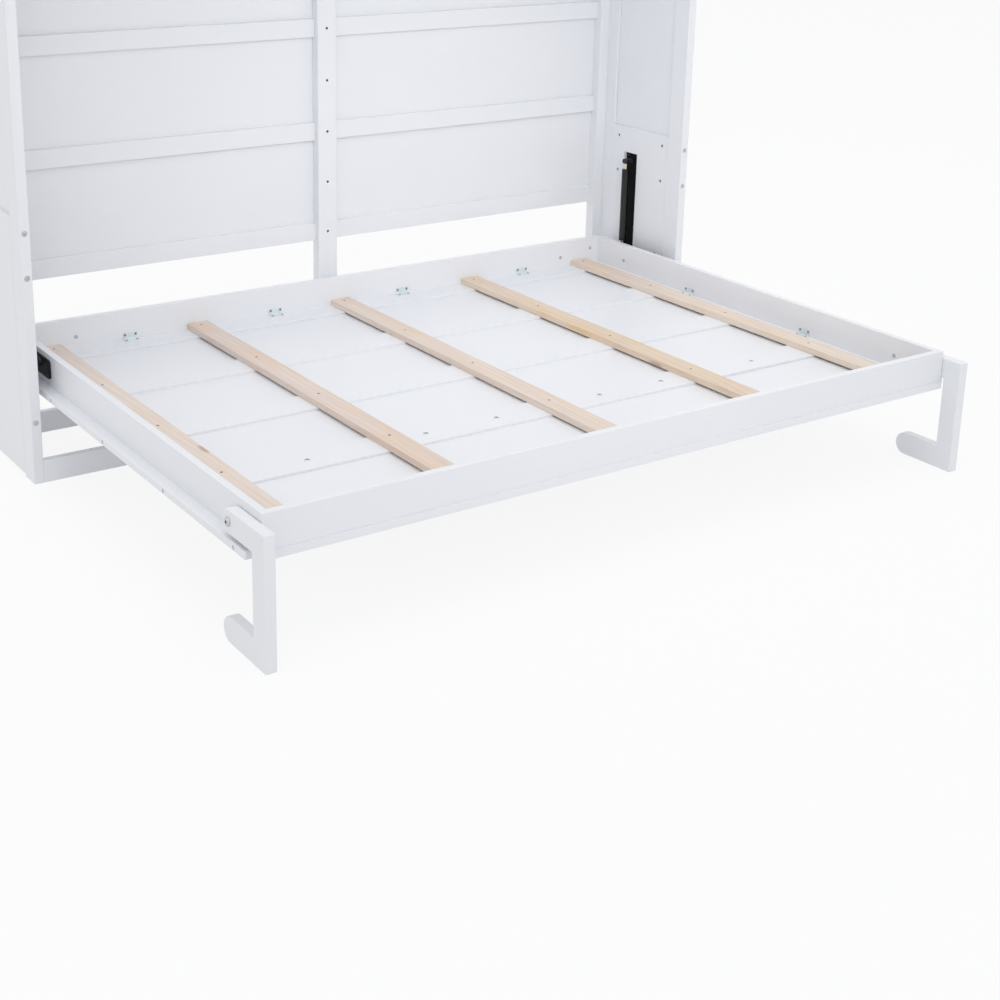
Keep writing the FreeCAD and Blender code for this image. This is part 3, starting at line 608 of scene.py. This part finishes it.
def ease(piece: bpy.types.Object, width: float) -> None:
    """Rounds a CAD board's sharp edges: its loose triangles are welded, then bevelled.

    Args:
        piece: The board.
        width: How wide the easing is, in metres.
    """
    weld = piece.modifiers.new("weld", "WELD")
    weld.merge_threshold = WELD_REACH
    bevel = piece.modifiers.new("eased_edges", "BEVEL")
    bevel.width = width
    bevel.segments = EASE_STEPS
    bevel.limit_method = "ANGLE"
    bevel.angle_limit = SHARP_ANGLE
    bevel.use_clamp_overlap = True
    bevel.loop_slide = False


def dress_nodes(material: bpy.types.Material, *names: str, edge: float = 0.0) -> None:
    """Gives CAD nodes a finish and eases their edges.

    Args:
        material: The finish.
        names: The nodes.
        edge: How wide the easing is, or zero for none.
    """
    for name in names:
        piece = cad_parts[name]
        paint(piece, material)
        if edge:
            ease(piece, edge)
        LOG.info("%s dressed", name)


# Rings of a head up to its crown: radius as a share of the head's, height as shares of body and crown
HEAD_RINGS = np.array([(1.0, 0.0, 0.0), (1.0, 0.6, 0.0), (0.95, 1.0, 0.0), (0.80, 1.0, 0.72)])
# Rings from the recess's rim to its bottom: radius as a share of the driver's, depth as one of the recess's
RECESS_RINGS = np.array([(1.12, 0.0), (1.0, 0.12), (0.86, 0.6), (0.45, 1.0)])
CROSS_ARM = 0.27  # half the width of a cross's arm, as a share of its length
TINY = 1e-6
HEAD_TURN = 2.399963  # radians from one head to the next, the golden angle, so that no two look alike


@dataclass(frozen=True)
class ScrewHead:
    """A fastener's head, spun about its own axis, with a driver's recess in its face.

    A row of the surface is a ring: its radius is a function of the angle, round outside and shaped like
    the driver inside, and its height is that row's. Rings run from under the head up over its crown and
    down into the recess, and both ends are closed by flat faces.
    """

    radius: float
    height: float
    crown: float
    recess: Recess
    driver: float
    depth: float
    sides: int = 24

    def driver_outline(self, angle: np.ndarray) -> np.ndarray:
        """Radius of the recess by angle: a hexagon's apothem over the cosine, or a cross's arm.

        Args:
            angle: Angles about the head's axis, in radians.

        Returns:
            One radius to each angle.
        """
        if self.recess is Recess.HEX:
            third = math.pi / 3.0
            return self.driver / np.cos((angle + third / 2.0) % third - third / 2.0)
        quarter = math.pi / 2.0
        nearest = np.abs((angle + quarter / 2.0) % quarter - quarter / 2.0)
        return np.minimum(self.driver, CROSS_ARM * self.driver / np.maximum(np.sin(nearest), TINY))

    def rings(self) -> np.ndarray:
        """The head's points: the rings of the table, scaled by the head's own sizes.

        Returns:
            Points about the origin, axis up, by ring and angle.
        """
        angle = np.linspace(0.0, 2.0 * math.pi, self.sides, endpoint=False)
        outside = HEAD_RINGS[:, :1] * np.full(self.sides, self.radius)
        inside = RECESS_RINGS[:, :1] * self.driver_outline(angle)
        radius = np.concatenate([outside, inside])
        rise = HEAD_RINGS[:, 1] * self.height + HEAD_RINGS[:, 2] * self.crown
        fall = self.height + self.crown - RECESS_RINGS[:, 1] * self.depth
        height = np.concatenate([rise, fall])[:, None] * np.ones(self.sides)
        return np.stack([radius * np.cos(angle), radius * np.sin(angle), height], axis=-1)

    def scatter(self, name: str, places: np.ndarray, normals: np.ndarray) -> bpy.types.Object:
        """Sets copies of the head at places, each along its own normal and turned its own way.

        Args:
            name: The object's name.
            places: Where each head sits, one row each, in metres.
            normals: Which way each head faces.

        Returns:
            One object with all the heads; its second slot is for the painted shade in the recesses.
        """
        rings = self.rings()
        rows, columns = rings.shape[:2]
        local = rings.reshape(-1, 3)
        count = len(places)
        axes = frames(normals, np.arange(count) * HEAD_TURN)
        points = places[:, None, :] + np.einsum("pi,kij->kpj", local, axes)
        cells = quads(rows, columns, True)
        first = np.arange(columns)[::-1]
        last = (rows - 1) * columns + np.arange(columns)
        starts = np.arange(count) * len(local)
        sides = (cells[None] + starts[:, None, None]).reshape(-1, 4).tolist()
        ends = np.concatenate([first[None] + starts[:, None], last[None] + starts[:, None]]).tolist()
        piece = make_object(name, points.reshape(-1, 3), sides + ends)
        row_of = np.tile(np.repeat(np.arange(rows - 1), columns), count)
        # recess faces and each recess's bottom take the second finish, painted shade
        dark = np.concatenate([row_of >= len(HEAD_RINGS), np.zeros(count, bool), np.ones(count, bool)])
        piece.data.polygons.foreach_set("material_index", dark.astype(np.int32))
        return piece


PAN_HEAD = ScrewHead(0.0042, height=0.0009, crown=0.0007, recess=Recess.CROSS, driver=0.0023, depth=0.0012)
SLAT_HEAD = ScrewHead(0.0041, height=0.0002, crown=0.0002, recess=Recess.CROSS, driver=0.0024, depth=0.0014)
EDGE_HEAD = ScrewHead(0.0055, height=0.0006, crown=0.0005, recess=Recess.CROSS, driver=0.0036, depth=0.0018)
TRUSS_HEAD = ScrewHead(0.0070, height=0.0007, crown=0.0012, recess=Recess.CROSS, driver=0.0026, depth=0.0015)
BOLT_HEAD = ScrewHead(0.0100, height=0.0034, crown=0.0014, recess=Recess.HEX, driver=0.0030, depth=0.0032)
SIDE_HEAD = ScrewHead(0.0063, height=0.0006, crown=0.0002, recess=Recess.HEX, driver=0.0020, depth=0.0022)
NUT_HEAD = ScrewHead(0.0075, height=0.0045, crown=0.0015, recess=Recess.HEX, driver=0.0034, depth=0.001,
                     sides=6)


def both_hands(places: Sequence[Point], normals: Sequence[Point]) -> Tuple[np.ndarray, np.ndarray]:
    """Right-hand places and normals with their mirror images at the left.

    Args:
        places: Places at the right.
        normals: Which way each faces.

    Returns:
        The places and the normals of both sides.
    """
    flip = np.array([-1.0, 1.0, 1.0])
    where, facing = np.array(places, float), np.array(normals, float)
    return np.concatenate([where, where * flip]), np.concatenate([facing, facing * flip])


def fasten(piece: bpy.types.Object, body: str, materials: Sequence[bpy.types.Material], *stands_for: str,
           slot: str = "zinc_steel") -> None:
    """Paints a new piece, lets it ride on a body and hides the CAD nodes it stands for.

    Args:
        piece: The new piece.
        body: The body it moves with.
        materials: Its finishes: a set of heads has one for the heads and one of painted shade for their
            recesses.
        stands_for: CAD nodes that it replaces.
        slot: The record's finish; not used.
    """
    paint(piece, *materials)
    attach(piece, body)
    if stands_for:
        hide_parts(*stands_for)
    LOG.info("%s on %s", piece.name, body)


# Sub-assemblies


@dataclass
class Cabinet:
    """Panelled sides, framed back, top and floor rails, all in white lacquer."""

    finishes: Finishes
    edge: float = 0.0014
    boards: Tuple[BoardSet, ...] = (
        (Grain.ALONG_X, ("back_battens", "top_board", "kick_rail", "back_floor_rail", "left_back_panel",
                         "right_back_panel")),
        (Grain.ALONG_Y, ("left_side_top_rail", "right_side_top_rail")),
        (Grain.ALONG_Z, ("left_front_stile", "right_front_stile", "left_back_stile", "right_back_stile",
                         "left_lower_board", "right_lower_board", "left_side_panel", "right_side_panel",
                         "left_end_stile", "right_end_stile")),
    )
    sunk: float = 0.0009
    bolt_row_limits: Spot = (0.35, 0.59)

    def dress(self) -> None:
        """Paints the boards, eases their edges and blackens the barrel nuts."""
        for grain, names in self.boards:
            dress_nodes(self.finishes.lacquer[grain], *names, edge=self.edge)
        dress_nodes(self.finishes.drilled, "centre_stile", edge=self.edge)
        dress_nodes(self.finishes.screw, "barrel_nuts")

    def build(self) -> None:
        """Adds the heads of the side bolts."""
        low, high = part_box("side_bolts")
        middle = 0.5 * (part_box("right_front_stile")[0][0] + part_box("right_front_stile")[1][0])
        heights = self.bolt_heights()
        front = [(middle, low[1] + self.sunk, z) for z in heights]
        back = [(middle, high[1] - self.sunk, z) for z in heights]
        places, normals = both_hands(front + back, [(0, -1, 0)] * len(front) + [(0, 1, 0)] * len(back))
        heads = SIDE_HEAD.scatter("side_bolt_heads", places, normals)
        fasten(heads, "cabinet", (self.finishes.bolt, self.finishes.socket), "side_bolts")

    def bolt_heights(self) -> List[float]:
        """Heights of the side bolts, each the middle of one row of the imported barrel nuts.

        Returns:
            One height to each row, from the lowest up.
        """
        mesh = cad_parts["barrel_nuts"].data
        points = np.empty(len(mesh.vertices) * 3)
        mesh.vertices.foreach_get("co", points)
        heights = points.reshape(-1, 3)[:, 2]
        row_of = np.digitize(heights, self.bolt_row_limits)
        rows = [heights[row_of == row] for row in range(len(self.bolt_row_limits) + 1)]
        return [float(0.5 * (row.min() + row.max())) for row in rows]


@dataclass
class BedFrame:
    """Rails and frame-and-panel door of the bed, with the screws that show on them."""

    finishes: Finishes
    rail_edge: float = 0.0002
    rails: Tuple[BoardSet, ...] = (
        (Grain.ALONG_X, ("front_rail", "back_rail")),
        (Grain.ALONG_Y, ("left_side_rail", "right_side_rail")),
    )
    door_edge: float = 0.0028
    door: Tuple[BoardSet, ...] = (
        (Grain.ALONG_X, ("door_rail_1", "door_rail_2", "door_rail_3", "door_rail_4", "door_rail_5",
                         "door_panels")),
        (Grain.ALONG_Y, ("left_door_stile", "right_door_stile")),
    )
    stile_screw_rows: Tuple[float, ...] = (-0.441, -0.771, -1.107, -1.443)
    stile_screw_sunk: float = 0.0008
    back_rail_screws: Tuple[Spot, ...] = ((0.820, 0.267), (0.940, 0.284))
    side_rail_screws: Tuple[Spot, ...] = ((-0.238, 0.268), (-1.366, 0.268))
    rail_screw_sunk: float = 0.0004

    def dress(self) -> None:
        """Paints the boards and eases their edges."""
        for boards, edge in ((self.rails, self.rail_edge), (self.door, self.door_edge)):
            for grain, names in boards:
                dress_nodes(self.finishes.lacquer[grain], *names, edge=edge)

    def build(self) -> None:
        """Adds the screws in the door's edges and in the rails' inner faces."""
        metals = (self.finishes.dull, self.finishes.socket)
        low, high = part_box("right_door_stile")
        middle = 0.5 * (low[2] + high[2])
        rows = [(high[0], y, middle) for y in self.stile_screw_rows]
        places, normals = both_hands(rows, [(1, 0, 0)] * len(rows))
        heads = EDGE_HEAD.scatter("door_edge_screws", places - normals * self.stile_screw_sunk, normals)
        fasten(heads, "bed", metals)
        inner_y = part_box("back_rail")[0][1]
        inner_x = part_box("right_side_rail")[0][0]
        spots = [(x, inner_y, z) for x, z in self.back_rail_screws]
        facing = [(0, -1, 0)] * len(spots)
        spots += [(inner_x, y, z) for y, z in self.side_rail_screws]
        facing += [(-1, 0, 0)] * len(self.side_rail_screws)
        places, normals = both_hands(spots, facing)
        heads = EDGE_HEAD.scatter("rail_screws", places - normals * self.rail_screw_sunk, normals)
        fasten(heads, "bed", metals)


@dataclass
class Slats:
    """Five planed softwood slats, each from its own board, and the screws that hold them."""

    finishes: Finishes
    edge: float = 0.0016
    timbers: Tuple[Timber, ...] = (
        Timber(pale=(0.84, 0.76, 0.70), late=(0.72, 0.59, 0.50), warm=(0.80, 0.62, 0.46), shift=0.3),
        Timber(pale=(0.80, 0.70, 0.64), late=(0.66, 0.52, 0.43), warm=(0.77, 0.55, 0.37), shift=1.7),
        Timber(pale=(0.83, 0.73, 0.66), late=(0.69, 0.56, 0.46), warm=(0.79, 0.58, 0.40), shift=3.1),
        Timber(pale=(0.82, 0.70, 0.58), late=(0.66, 0.50, 0.37), warm=(0.79, 0.55, 0.26), shift=4.6,
               flush=0.65),
        Timber(pale=(0.83, 0.74, 0.65), late=(0.68, 0.54, 0.44), warm=(0.79, 0.58, 0.41), shift=6.2),
    )
    rows: Tuple[float, ...] = (-1.4665, -1.1325, -0.7985, -0.4645, -0.1305)
    sunk: float = 0.0014

    def dress(self) -> None:
        """Gives each slat its own timber and eases its edges."""
        for index, timber in enumerate(self.timbers, start=1):
            dress_nodes(timber.make(f"slat_timber_{index}"), f"slat_{index}", edge=self.edge)

    def build(self) -> None:
        """Sets a countersunk head in each hole of the slats."""
        boxes = [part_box(f"slat_{index}") for index in range(1, len(self.timbers) + 1)]
        centres = np.array([0.5 * (low[0] + high[0]) for low, high in boxes])
        top = boxes[0][1][2]
        x, y = np.meshgrid(centres, np.array(self.rows), indexing="ij")
        places = np.stack([x.ravel(), y.ravel(), np.full(x.size, top - self.sunk)], axis=-1)
        heads = SLAT_HEAD.scatter("slat_screw_heads", places, np.tile(UP, (len(places), 1)))
        fasten(heads, "bed", (self.finishes.screw, self.finishes.socket), "slat_screws")


@dataclass
class Handles:
    """Black bar handles on the door's face and the heads of their bolts inside the bed."""

    finishes: Finishes
    edge: float = 0.0012
    places: Tuple[float, ...] = (-0.680, -0.362, -0.159, 0.159, 0.362, 0.680)
    row: float = -1.1325
    sunk: float = 0.0002

    def dress(self) -> None:
        """Coats the bars and rounds their edges."""
        dress_nodes(self.finishes.black, "door_handles", edge=self.edge)

    def build(self) -> None:
        """Sets a low round head over each bolt."""
        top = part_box("front_rail")[0][2]
        places = np.array([(x, self.row, top - self.sunk) for x in self.places])
        heads = TRUSS_HEAD.scatter("handle_bolt_heads", places, np.tile(UP, (len(places), 1)))
        fasten(heads, "bed", (self.finishes.bolt, self.finishes.socket), "handle_bolts")


@dataclass
class Legs:
    """C-shaped folding legs and their pivot bolts."""

    finishes: Finishes
    pivot: Spot = (-1.418, 0.273)
    head_gap: float = 0.0002

    def dress(self) -> None:
        """Paints the legs and plates the washers."""
        dress_nodes(self.finishes.lacquer[Grain.ALONG_Z], "left_leg", "right_leg")
        dress_nodes(self.finishes.zinc, "leg_washers")

    def build(self) -> None:
        """Sets a socket head outside each leg and a capped nut inside each rail."""
        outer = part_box("right_leg")[1][0]
        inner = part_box("right_side_rail")[0][0]
        y, z = self.pivot
        metals = (self.finishes.bolt, self.finishes.socket)
        places, normals = both_hands([(outer + self.head_gap, y, z)], [(1, 0, 0)])
        fasten(BOLT_HEAD.scatter("leg_bolt_heads", places, normals), "bed", metals, "leg_bolts")
        places, normals = both_hands([(inner, y, z)], [(-1, 0, 0)])
        fasten(NUT_HEAD.scatter("leg_nuts", places, normals), "bed", metals)


@dataclass
class LiftGear:
    """Hinge plates, pivot pins and gas struts that carry the bed as it folds."""

    finishes: Finishes
    plate_screws: Tuple[Spot, ...] = (
        (-0.353, 0.265), (-0.353, 0.293), (-0.151, 0.265), (-0.151, 0.293), (-0.235, 0.293))
    recess_screws: Tuple[Spot, ...] = ((-0.191, 0.590), (-0.151, 0.590), (-0.191, 0.360), (-0.151, 0.360))
    edge: float = 0.0006
    neck_below_top: Spot = (0.034, 0.016)

    def dress(self) -> None:
        """Coats the plates, struts, pins and bushes."""
        finishes = self.finishes
        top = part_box("right_strut_tube")[1][2]
        strut = StrutCoat(*(top - below for below in self.neck_below_top)).make("strut_paint_and_plating")
        dress_nodes(strut, "left_strut_tube", "right_strut_tube")
        dress_nodes(finishes.rod, "left_strut_rod", "right_strut_rod")
        dress_nodes(finishes.black, "left_strut_gland", "right_strut_gland")
        dress_nodes(finishes.black, "left_strut_foot", "right_strut_foot")
        dress_nodes(finishes.matt, "left_strut_plate", "right_strut_plate", edge=self.edge)
        dress_nodes(finishes.black, "hinge_plates", edge=self.edge)
        dress_nodes(finishes.screw, "pivot_pins", "ball_studs")
        dress_nodes(finishes.brass, "pivot_bushes")

    def build(self) -> None:
        """Sets the screws of the hinge plates and of the plates in the sides' recesses."""
        metals = (self.finishes.screw, self.finishes.socket)
        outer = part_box("hinge_plates")[1][0]
        spots = [(outer, y, z) for y, z in self.plate_screws]
        places, normals = both_hands(spots, [(1, 0, 0)] * len(spots))
        fasten(PAN_HEAD.scatter("hinge_plate_screws", places, normals), "bed", metals)
        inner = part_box("right_strut_plate")[0][0]
        spots = [(inner, y, z) for y, z in self.recess_screws]
        places, normals = both_hands(spots, [(-1, 0, 0)] * len(spots))
        fasten(PAN_HEAD.scatter("recess_plate_screws", places, normals), "cabinet", metals)


@dataclass
class AngleBrackets:
    """Bent zinc angle brackets between the rails and the door, each with four screws.

    The surface is a profile carried sideways: it comes down the rail, round the bend and out over the
    door. Its half width is that of a rectangle whose free corners are rounded.
    """

    finishes: Finishes
    width: float = 0.042
    leg: float = 0.020
    thick: float = 0.0018
    bend: float = 0.0035
    corner: float = 0.004
    seat: float = 0.0001
    steps: int = 6
    columns: int = 7
    hole_across: float = 0.0155
    hole_out: float = 0.0140
    screw_sunk: float = 0.0003
    end_places: Tuple[float, ...] = (-0.665, -0.216, 0.216, 0.665)
    side_places: Tuple[float, ...] = (-1.0405, -0.5565)

    def dress(self, piece: bpy.types.Object) -> None:
        """Gives the sheet its thickness and its plating in place of the CAD brackets.

        Args:
            piece: The brackets' inner surface.
        """
        wall = piece.modifiers.new("sheet", "SOLIDIFY")
        wall.thickness = self.thick
        wall.offset = 1.0
        fasten(piece, "bed", (self.finishes.plate_zinc,), "angle_brackets")

    def seats(self) -> Tuple[np.ndarray, np.ndarray]:
        """Where the brackets stand.

        Returns:
            The foot of each bracket's bend, and which way its foot points.
        """
        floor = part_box("front_rail")[0][2]
        front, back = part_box("front_rail")[1][1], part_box("back_rail")[0][1]
        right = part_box("right_side_rail")[0][0]
        points = [(x, y, floor) for y in (back, front) for x in self.end_places]
        points += [(x, y, floor) for x in (right, -right) for y in self.side_places]
        ends, sides = len(self.end_places), len(self.side_places)
        ways = [(0, -1, 0)] * ends + [(0, 1, 0)] * ends + [(-1, 0, 0)] * sides + [(1, 0, 0)] * sides
        return np.array(points, float), np.array(ways, float)

    def profile(self) -> Tuple[np.ndarray, np.ndarray]:
        """The bracket's section: a straight leg down, a quarter circle and a straight leg out.

        Returns:
            The section's points as (out, up), and the distance of each from the nearer free end.
        """
        angle = np.linspace(0.0, math.pi / 2.0, self.steps)
        ends = self.corner * (1.0 - np.cos(angle))
        upright = np.stack([np.zeros(self.steps), self.leg - ends], axis=-1)
        turn = self.bend * (1.0 - np.stack([np.cos(angle), np.sin(angle)], axis=-1))
        section = np.concatenate([upright, turn, upright[::-1, ::-1]])
        inset = np.concatenate([ends, np.full(self.steps, self.leg), ends[::-1]])
        return section, inset

    def build(self) -> None:
        """Makes the twelve brackets and their screws."""
        section, inset = self.profile()
        short = np.maximum(self.corner - inset, 0.0)
        half = self.width / 2.0 - self.corner + np.sqrt(np.maximum(self.corner ** 2 - short ** 2, 0.0))
        across = np.linspace(-1.0, 1.0, self.columns)
        points, ways = self.seats()
        sideways = np.cross(ways, UP)
        out = (section[:, 0] + self.seat)[None, :, None, None] * ways[:, None, None, :]
        rise = (section[:, 1] + self.seat)[None, :, None, None] * UP
        spread = (half[:, None] * across)[None, :, :, None] * sideways[:, None, None, :]
        cloud = points[:, None, None, :] + out + rise + spread
        cells = quads(len(section), len(across), False)
        starts = np.arange(len(points)) * len(section) * len(across)
        faces = (cells[None] + starts[:, None, None]).reshape(-1, 4).tolist()
        self.dress(make_object("bent_brackets", cloud.reshape(-1, 3), faces))
        self.screws(points, ways, sideways)

    def screws(self, points: np.ndarray, ways: np.ndarray, sideways: np.ndarray) -> None:
        """Sets two screws in each leg of every bracket.

        Args:
            points: The feet of the brackets' bends.
            ways: Which way each foot points.
            sideways: The direction along each rail.
        """
        up = np.tile(UP, (len(points), 1))
        lift = self.thick + self.seat - self.screw_sunk
        places = []
        for side in (-self.hole_across, self.hole_across):
            base = points + side * sideways
            places += [base + self.hole_out * up + lift * ways, base + self.hole_out * ways + lift * up]
        normals = np.concatenate([ways, up, ways, up])
        heads = PAN_HEAD.scatter("bracket_screws", np.concatenate(places), normals)
        fasten(heads, "bed", (self.finishes.dull, self.finishes.socket))


# Studio


@dataclass(frozen=True)
class Lamp:
    """A square soft lamp: its side is in metres, its power in watts and its beam's full angle in degrees."""

    name: str
    place: Point
    target: Point
    size: float
    watts: float
    spread: float = 180.0

    def hang(self) -> None:
        """Adds the lamp to the scene, facing its target."""
        data = bpy.data.lights.new(self.name, "AREA")
        data.size = self.size
        data.spread = math.radians(self.spread)
        data.energy = self.watts
        lamp = bpy.data.objects.new(self.name, data)
        bpy.context.scene.collection.objects.link(lamp)
        lamp.location = self.place
        lamp.rotation_euler = (Vector(self.target) - Vector(self.place)).to_track_quat("-Z", "Y").to_euler()


@dataclass
class Studio:
    """Pale floor, soft light and the camera.

    A wide lamp hangs overhead, and two weak ones reach from the front into the cabinet and its right side.
    """

    ambient: float = 0.80
    ambient_tint: Colour = (0.985, 0.992, 1.0)
    floor_colour: Colour = (0.86, 0.865, 0.875)
    floor_mottle: float = 0.985
    floor_glow: float = 0.86
    floor_bounce: float = 0.25
    floor_half: float = 30.0
    lamps: Tuple[Lamp, ...] = (
        Lamp("overhead", (-0.6, -2.2, 9.0), (0.0, -0.9, 0.2), size=7.0, watts=175.0),
        Lamp("inward", (-0.9, -3.4, 2.4), (0.2, -0.05, 0.70), size=1.4, watts=2.2, spread=48.0),
        Lamp("sideways", (-1.7, -3.3, 2.5), (1.0, -0.15, 0.60), size=1.6, watts=1.9, spread=52.0),
    )
    lens: float = 59.34
    sensor: float = 36.0
    shift: Spot = (0.056, -0.18)
    reach: float = 100.0
    eye: Point = (-2.3473, -4.1678, 1.6328)
    yaw: float = -0.5898
    tilt: float = 0.29872
    roll: float = 0.01613

    def floor(self) -> None:
        """A plain floor: lit paint, mixed for the camera with plain white, so that shadows stay faint."""
        corner = np.array([-1.0, 1.0])
        x, y = np.meshgrid(corner, corner, indexing="xy")
        points = np.stack([x.ravel(), y.ravel(), np.zeros(x.size)], axis=-1) * self.floor_half
        plane = make_object("studio_floor", points, [[0, 1, 3, 2]])
        material, tree = new_tree("studio_floor_paint")
        mottled = tuple(self.floor_mottle * part for part in self.floor_colour)
        colour = tree.blend(tree.noise(even(3.0), detail=2.0, rough=0.5), mottled, self.floor_colour)
        lit = tree.value("ShaderNodeBsdfPrincipled", "BSDF", {},
                         {"Base Color": colour, "Roughness": 1.0, "Specular IOR Level": 0.0})
        white = tree.value("ShaderNodeEmission", "Emission", {}, {"Color": WHITE, "Strength": 1.0})
        share = self.seen(tree) * (self.floor_glow - self.floor_bounce) + self.floor_bounce
        mixed = tree.value("ShaderNodeMixShader", "Shader", {}, {0: share, 1: lit, 2: white})
        tree.node("ShaderNodeOutputMaterial", {}, {"Surface": mixed})
        paint(plane, material)

    @staticmethod
    def seen(tree: Tree) -> Value:
        """Tells rays that show the background from those that only bring light.

        Args:
            tree: The nodes of the floor or the world.

        Returns:
            One for rays from the camera, from a gloss and through glass, otherwise zero.
        """
        camera, gloss, through = (tree.value("ShaderNodeLightPath", name, {}, {})
                                  for name in ("Is Camera Ray", "Is Glossy Ray", "Is Transmission Ray"))
        return camera.most(gloss).most(through)

    def world(self) -> None:
        """White surroundings for the eye and an even cool light for the object."""
        world = bpy.data.worlds.new("studio_light")
        bpy.context.scene.world = world
        tree = Tree(world)
        tint = (*self.ambient_tint, 1.0)
        cool = tree.value("ShaderNodeBackground", "Background", {}, {"Color": tint, "Strength": self.ambient})
        white = tree.value("ShaderNodeBackground", "Background", {}, {"Color": WHITE, "Strength": 1.0})
        mixed = tree.value("ShaderNodeMixShader", "Shader", {}, {0: self.seen(tree), 1: cool, 2: white})
        tree.node("ShaderNodeOutputWorld", {}, {"Surface": mixed})

    def camera(self) -> None:
        """The camera, turned by yaw, tilt and roll at the eye."""
        data = bpy.data.cameras.new("eye")
        data.lens = self.lens
        data.sensor_width = self.sensor
        data.shift_x, data.shift_y = self.shift
        data.clip_end = self.reach
        eye = bpy.data.objects.new("eye", data)
        bpy.context.scene.collection.objects.link(eye)
        turn = (Matrix.Rotation(self.yaw, 4, "Z") @ Matrix.Rotation(math.pi / 2.0 - self.tilt, 4, "X")
                @ Matrix.Rotation(self.roll, 4, "Z"))
        eye.matrix_world = Matrix.Translation(Vector(self.eye)) @ turn
        bpy.context.scene.camera = eye

    def build(self) -> None:
        """Sets up the whole studio."""
        bpy.context.scene.view_settings.view_transform = "Standard"
        self.floor()
        self.world()
        for lamp in self.lamps:
            lamp.hang()
        self.camera()
        LOG.info("studio set up")


def main() -> None:
    """Builds and dresses every sub-assembly in order, then the studio."""
    logging.basicConfig(level=logging.INFO, format="%(name)s: %(message)s")
    finishes = Finishes()
    for part in (Cabinet(finishes), BedFrame(finishes), Slats(finishes), Handles(finishes), Legs(finishes),
                 LiftGear(finishes)):
        part.dress()
        part.build()
    AngleBrackets(finishes).build()
    Studio().build()


if __name__ == "__main__":
    main()
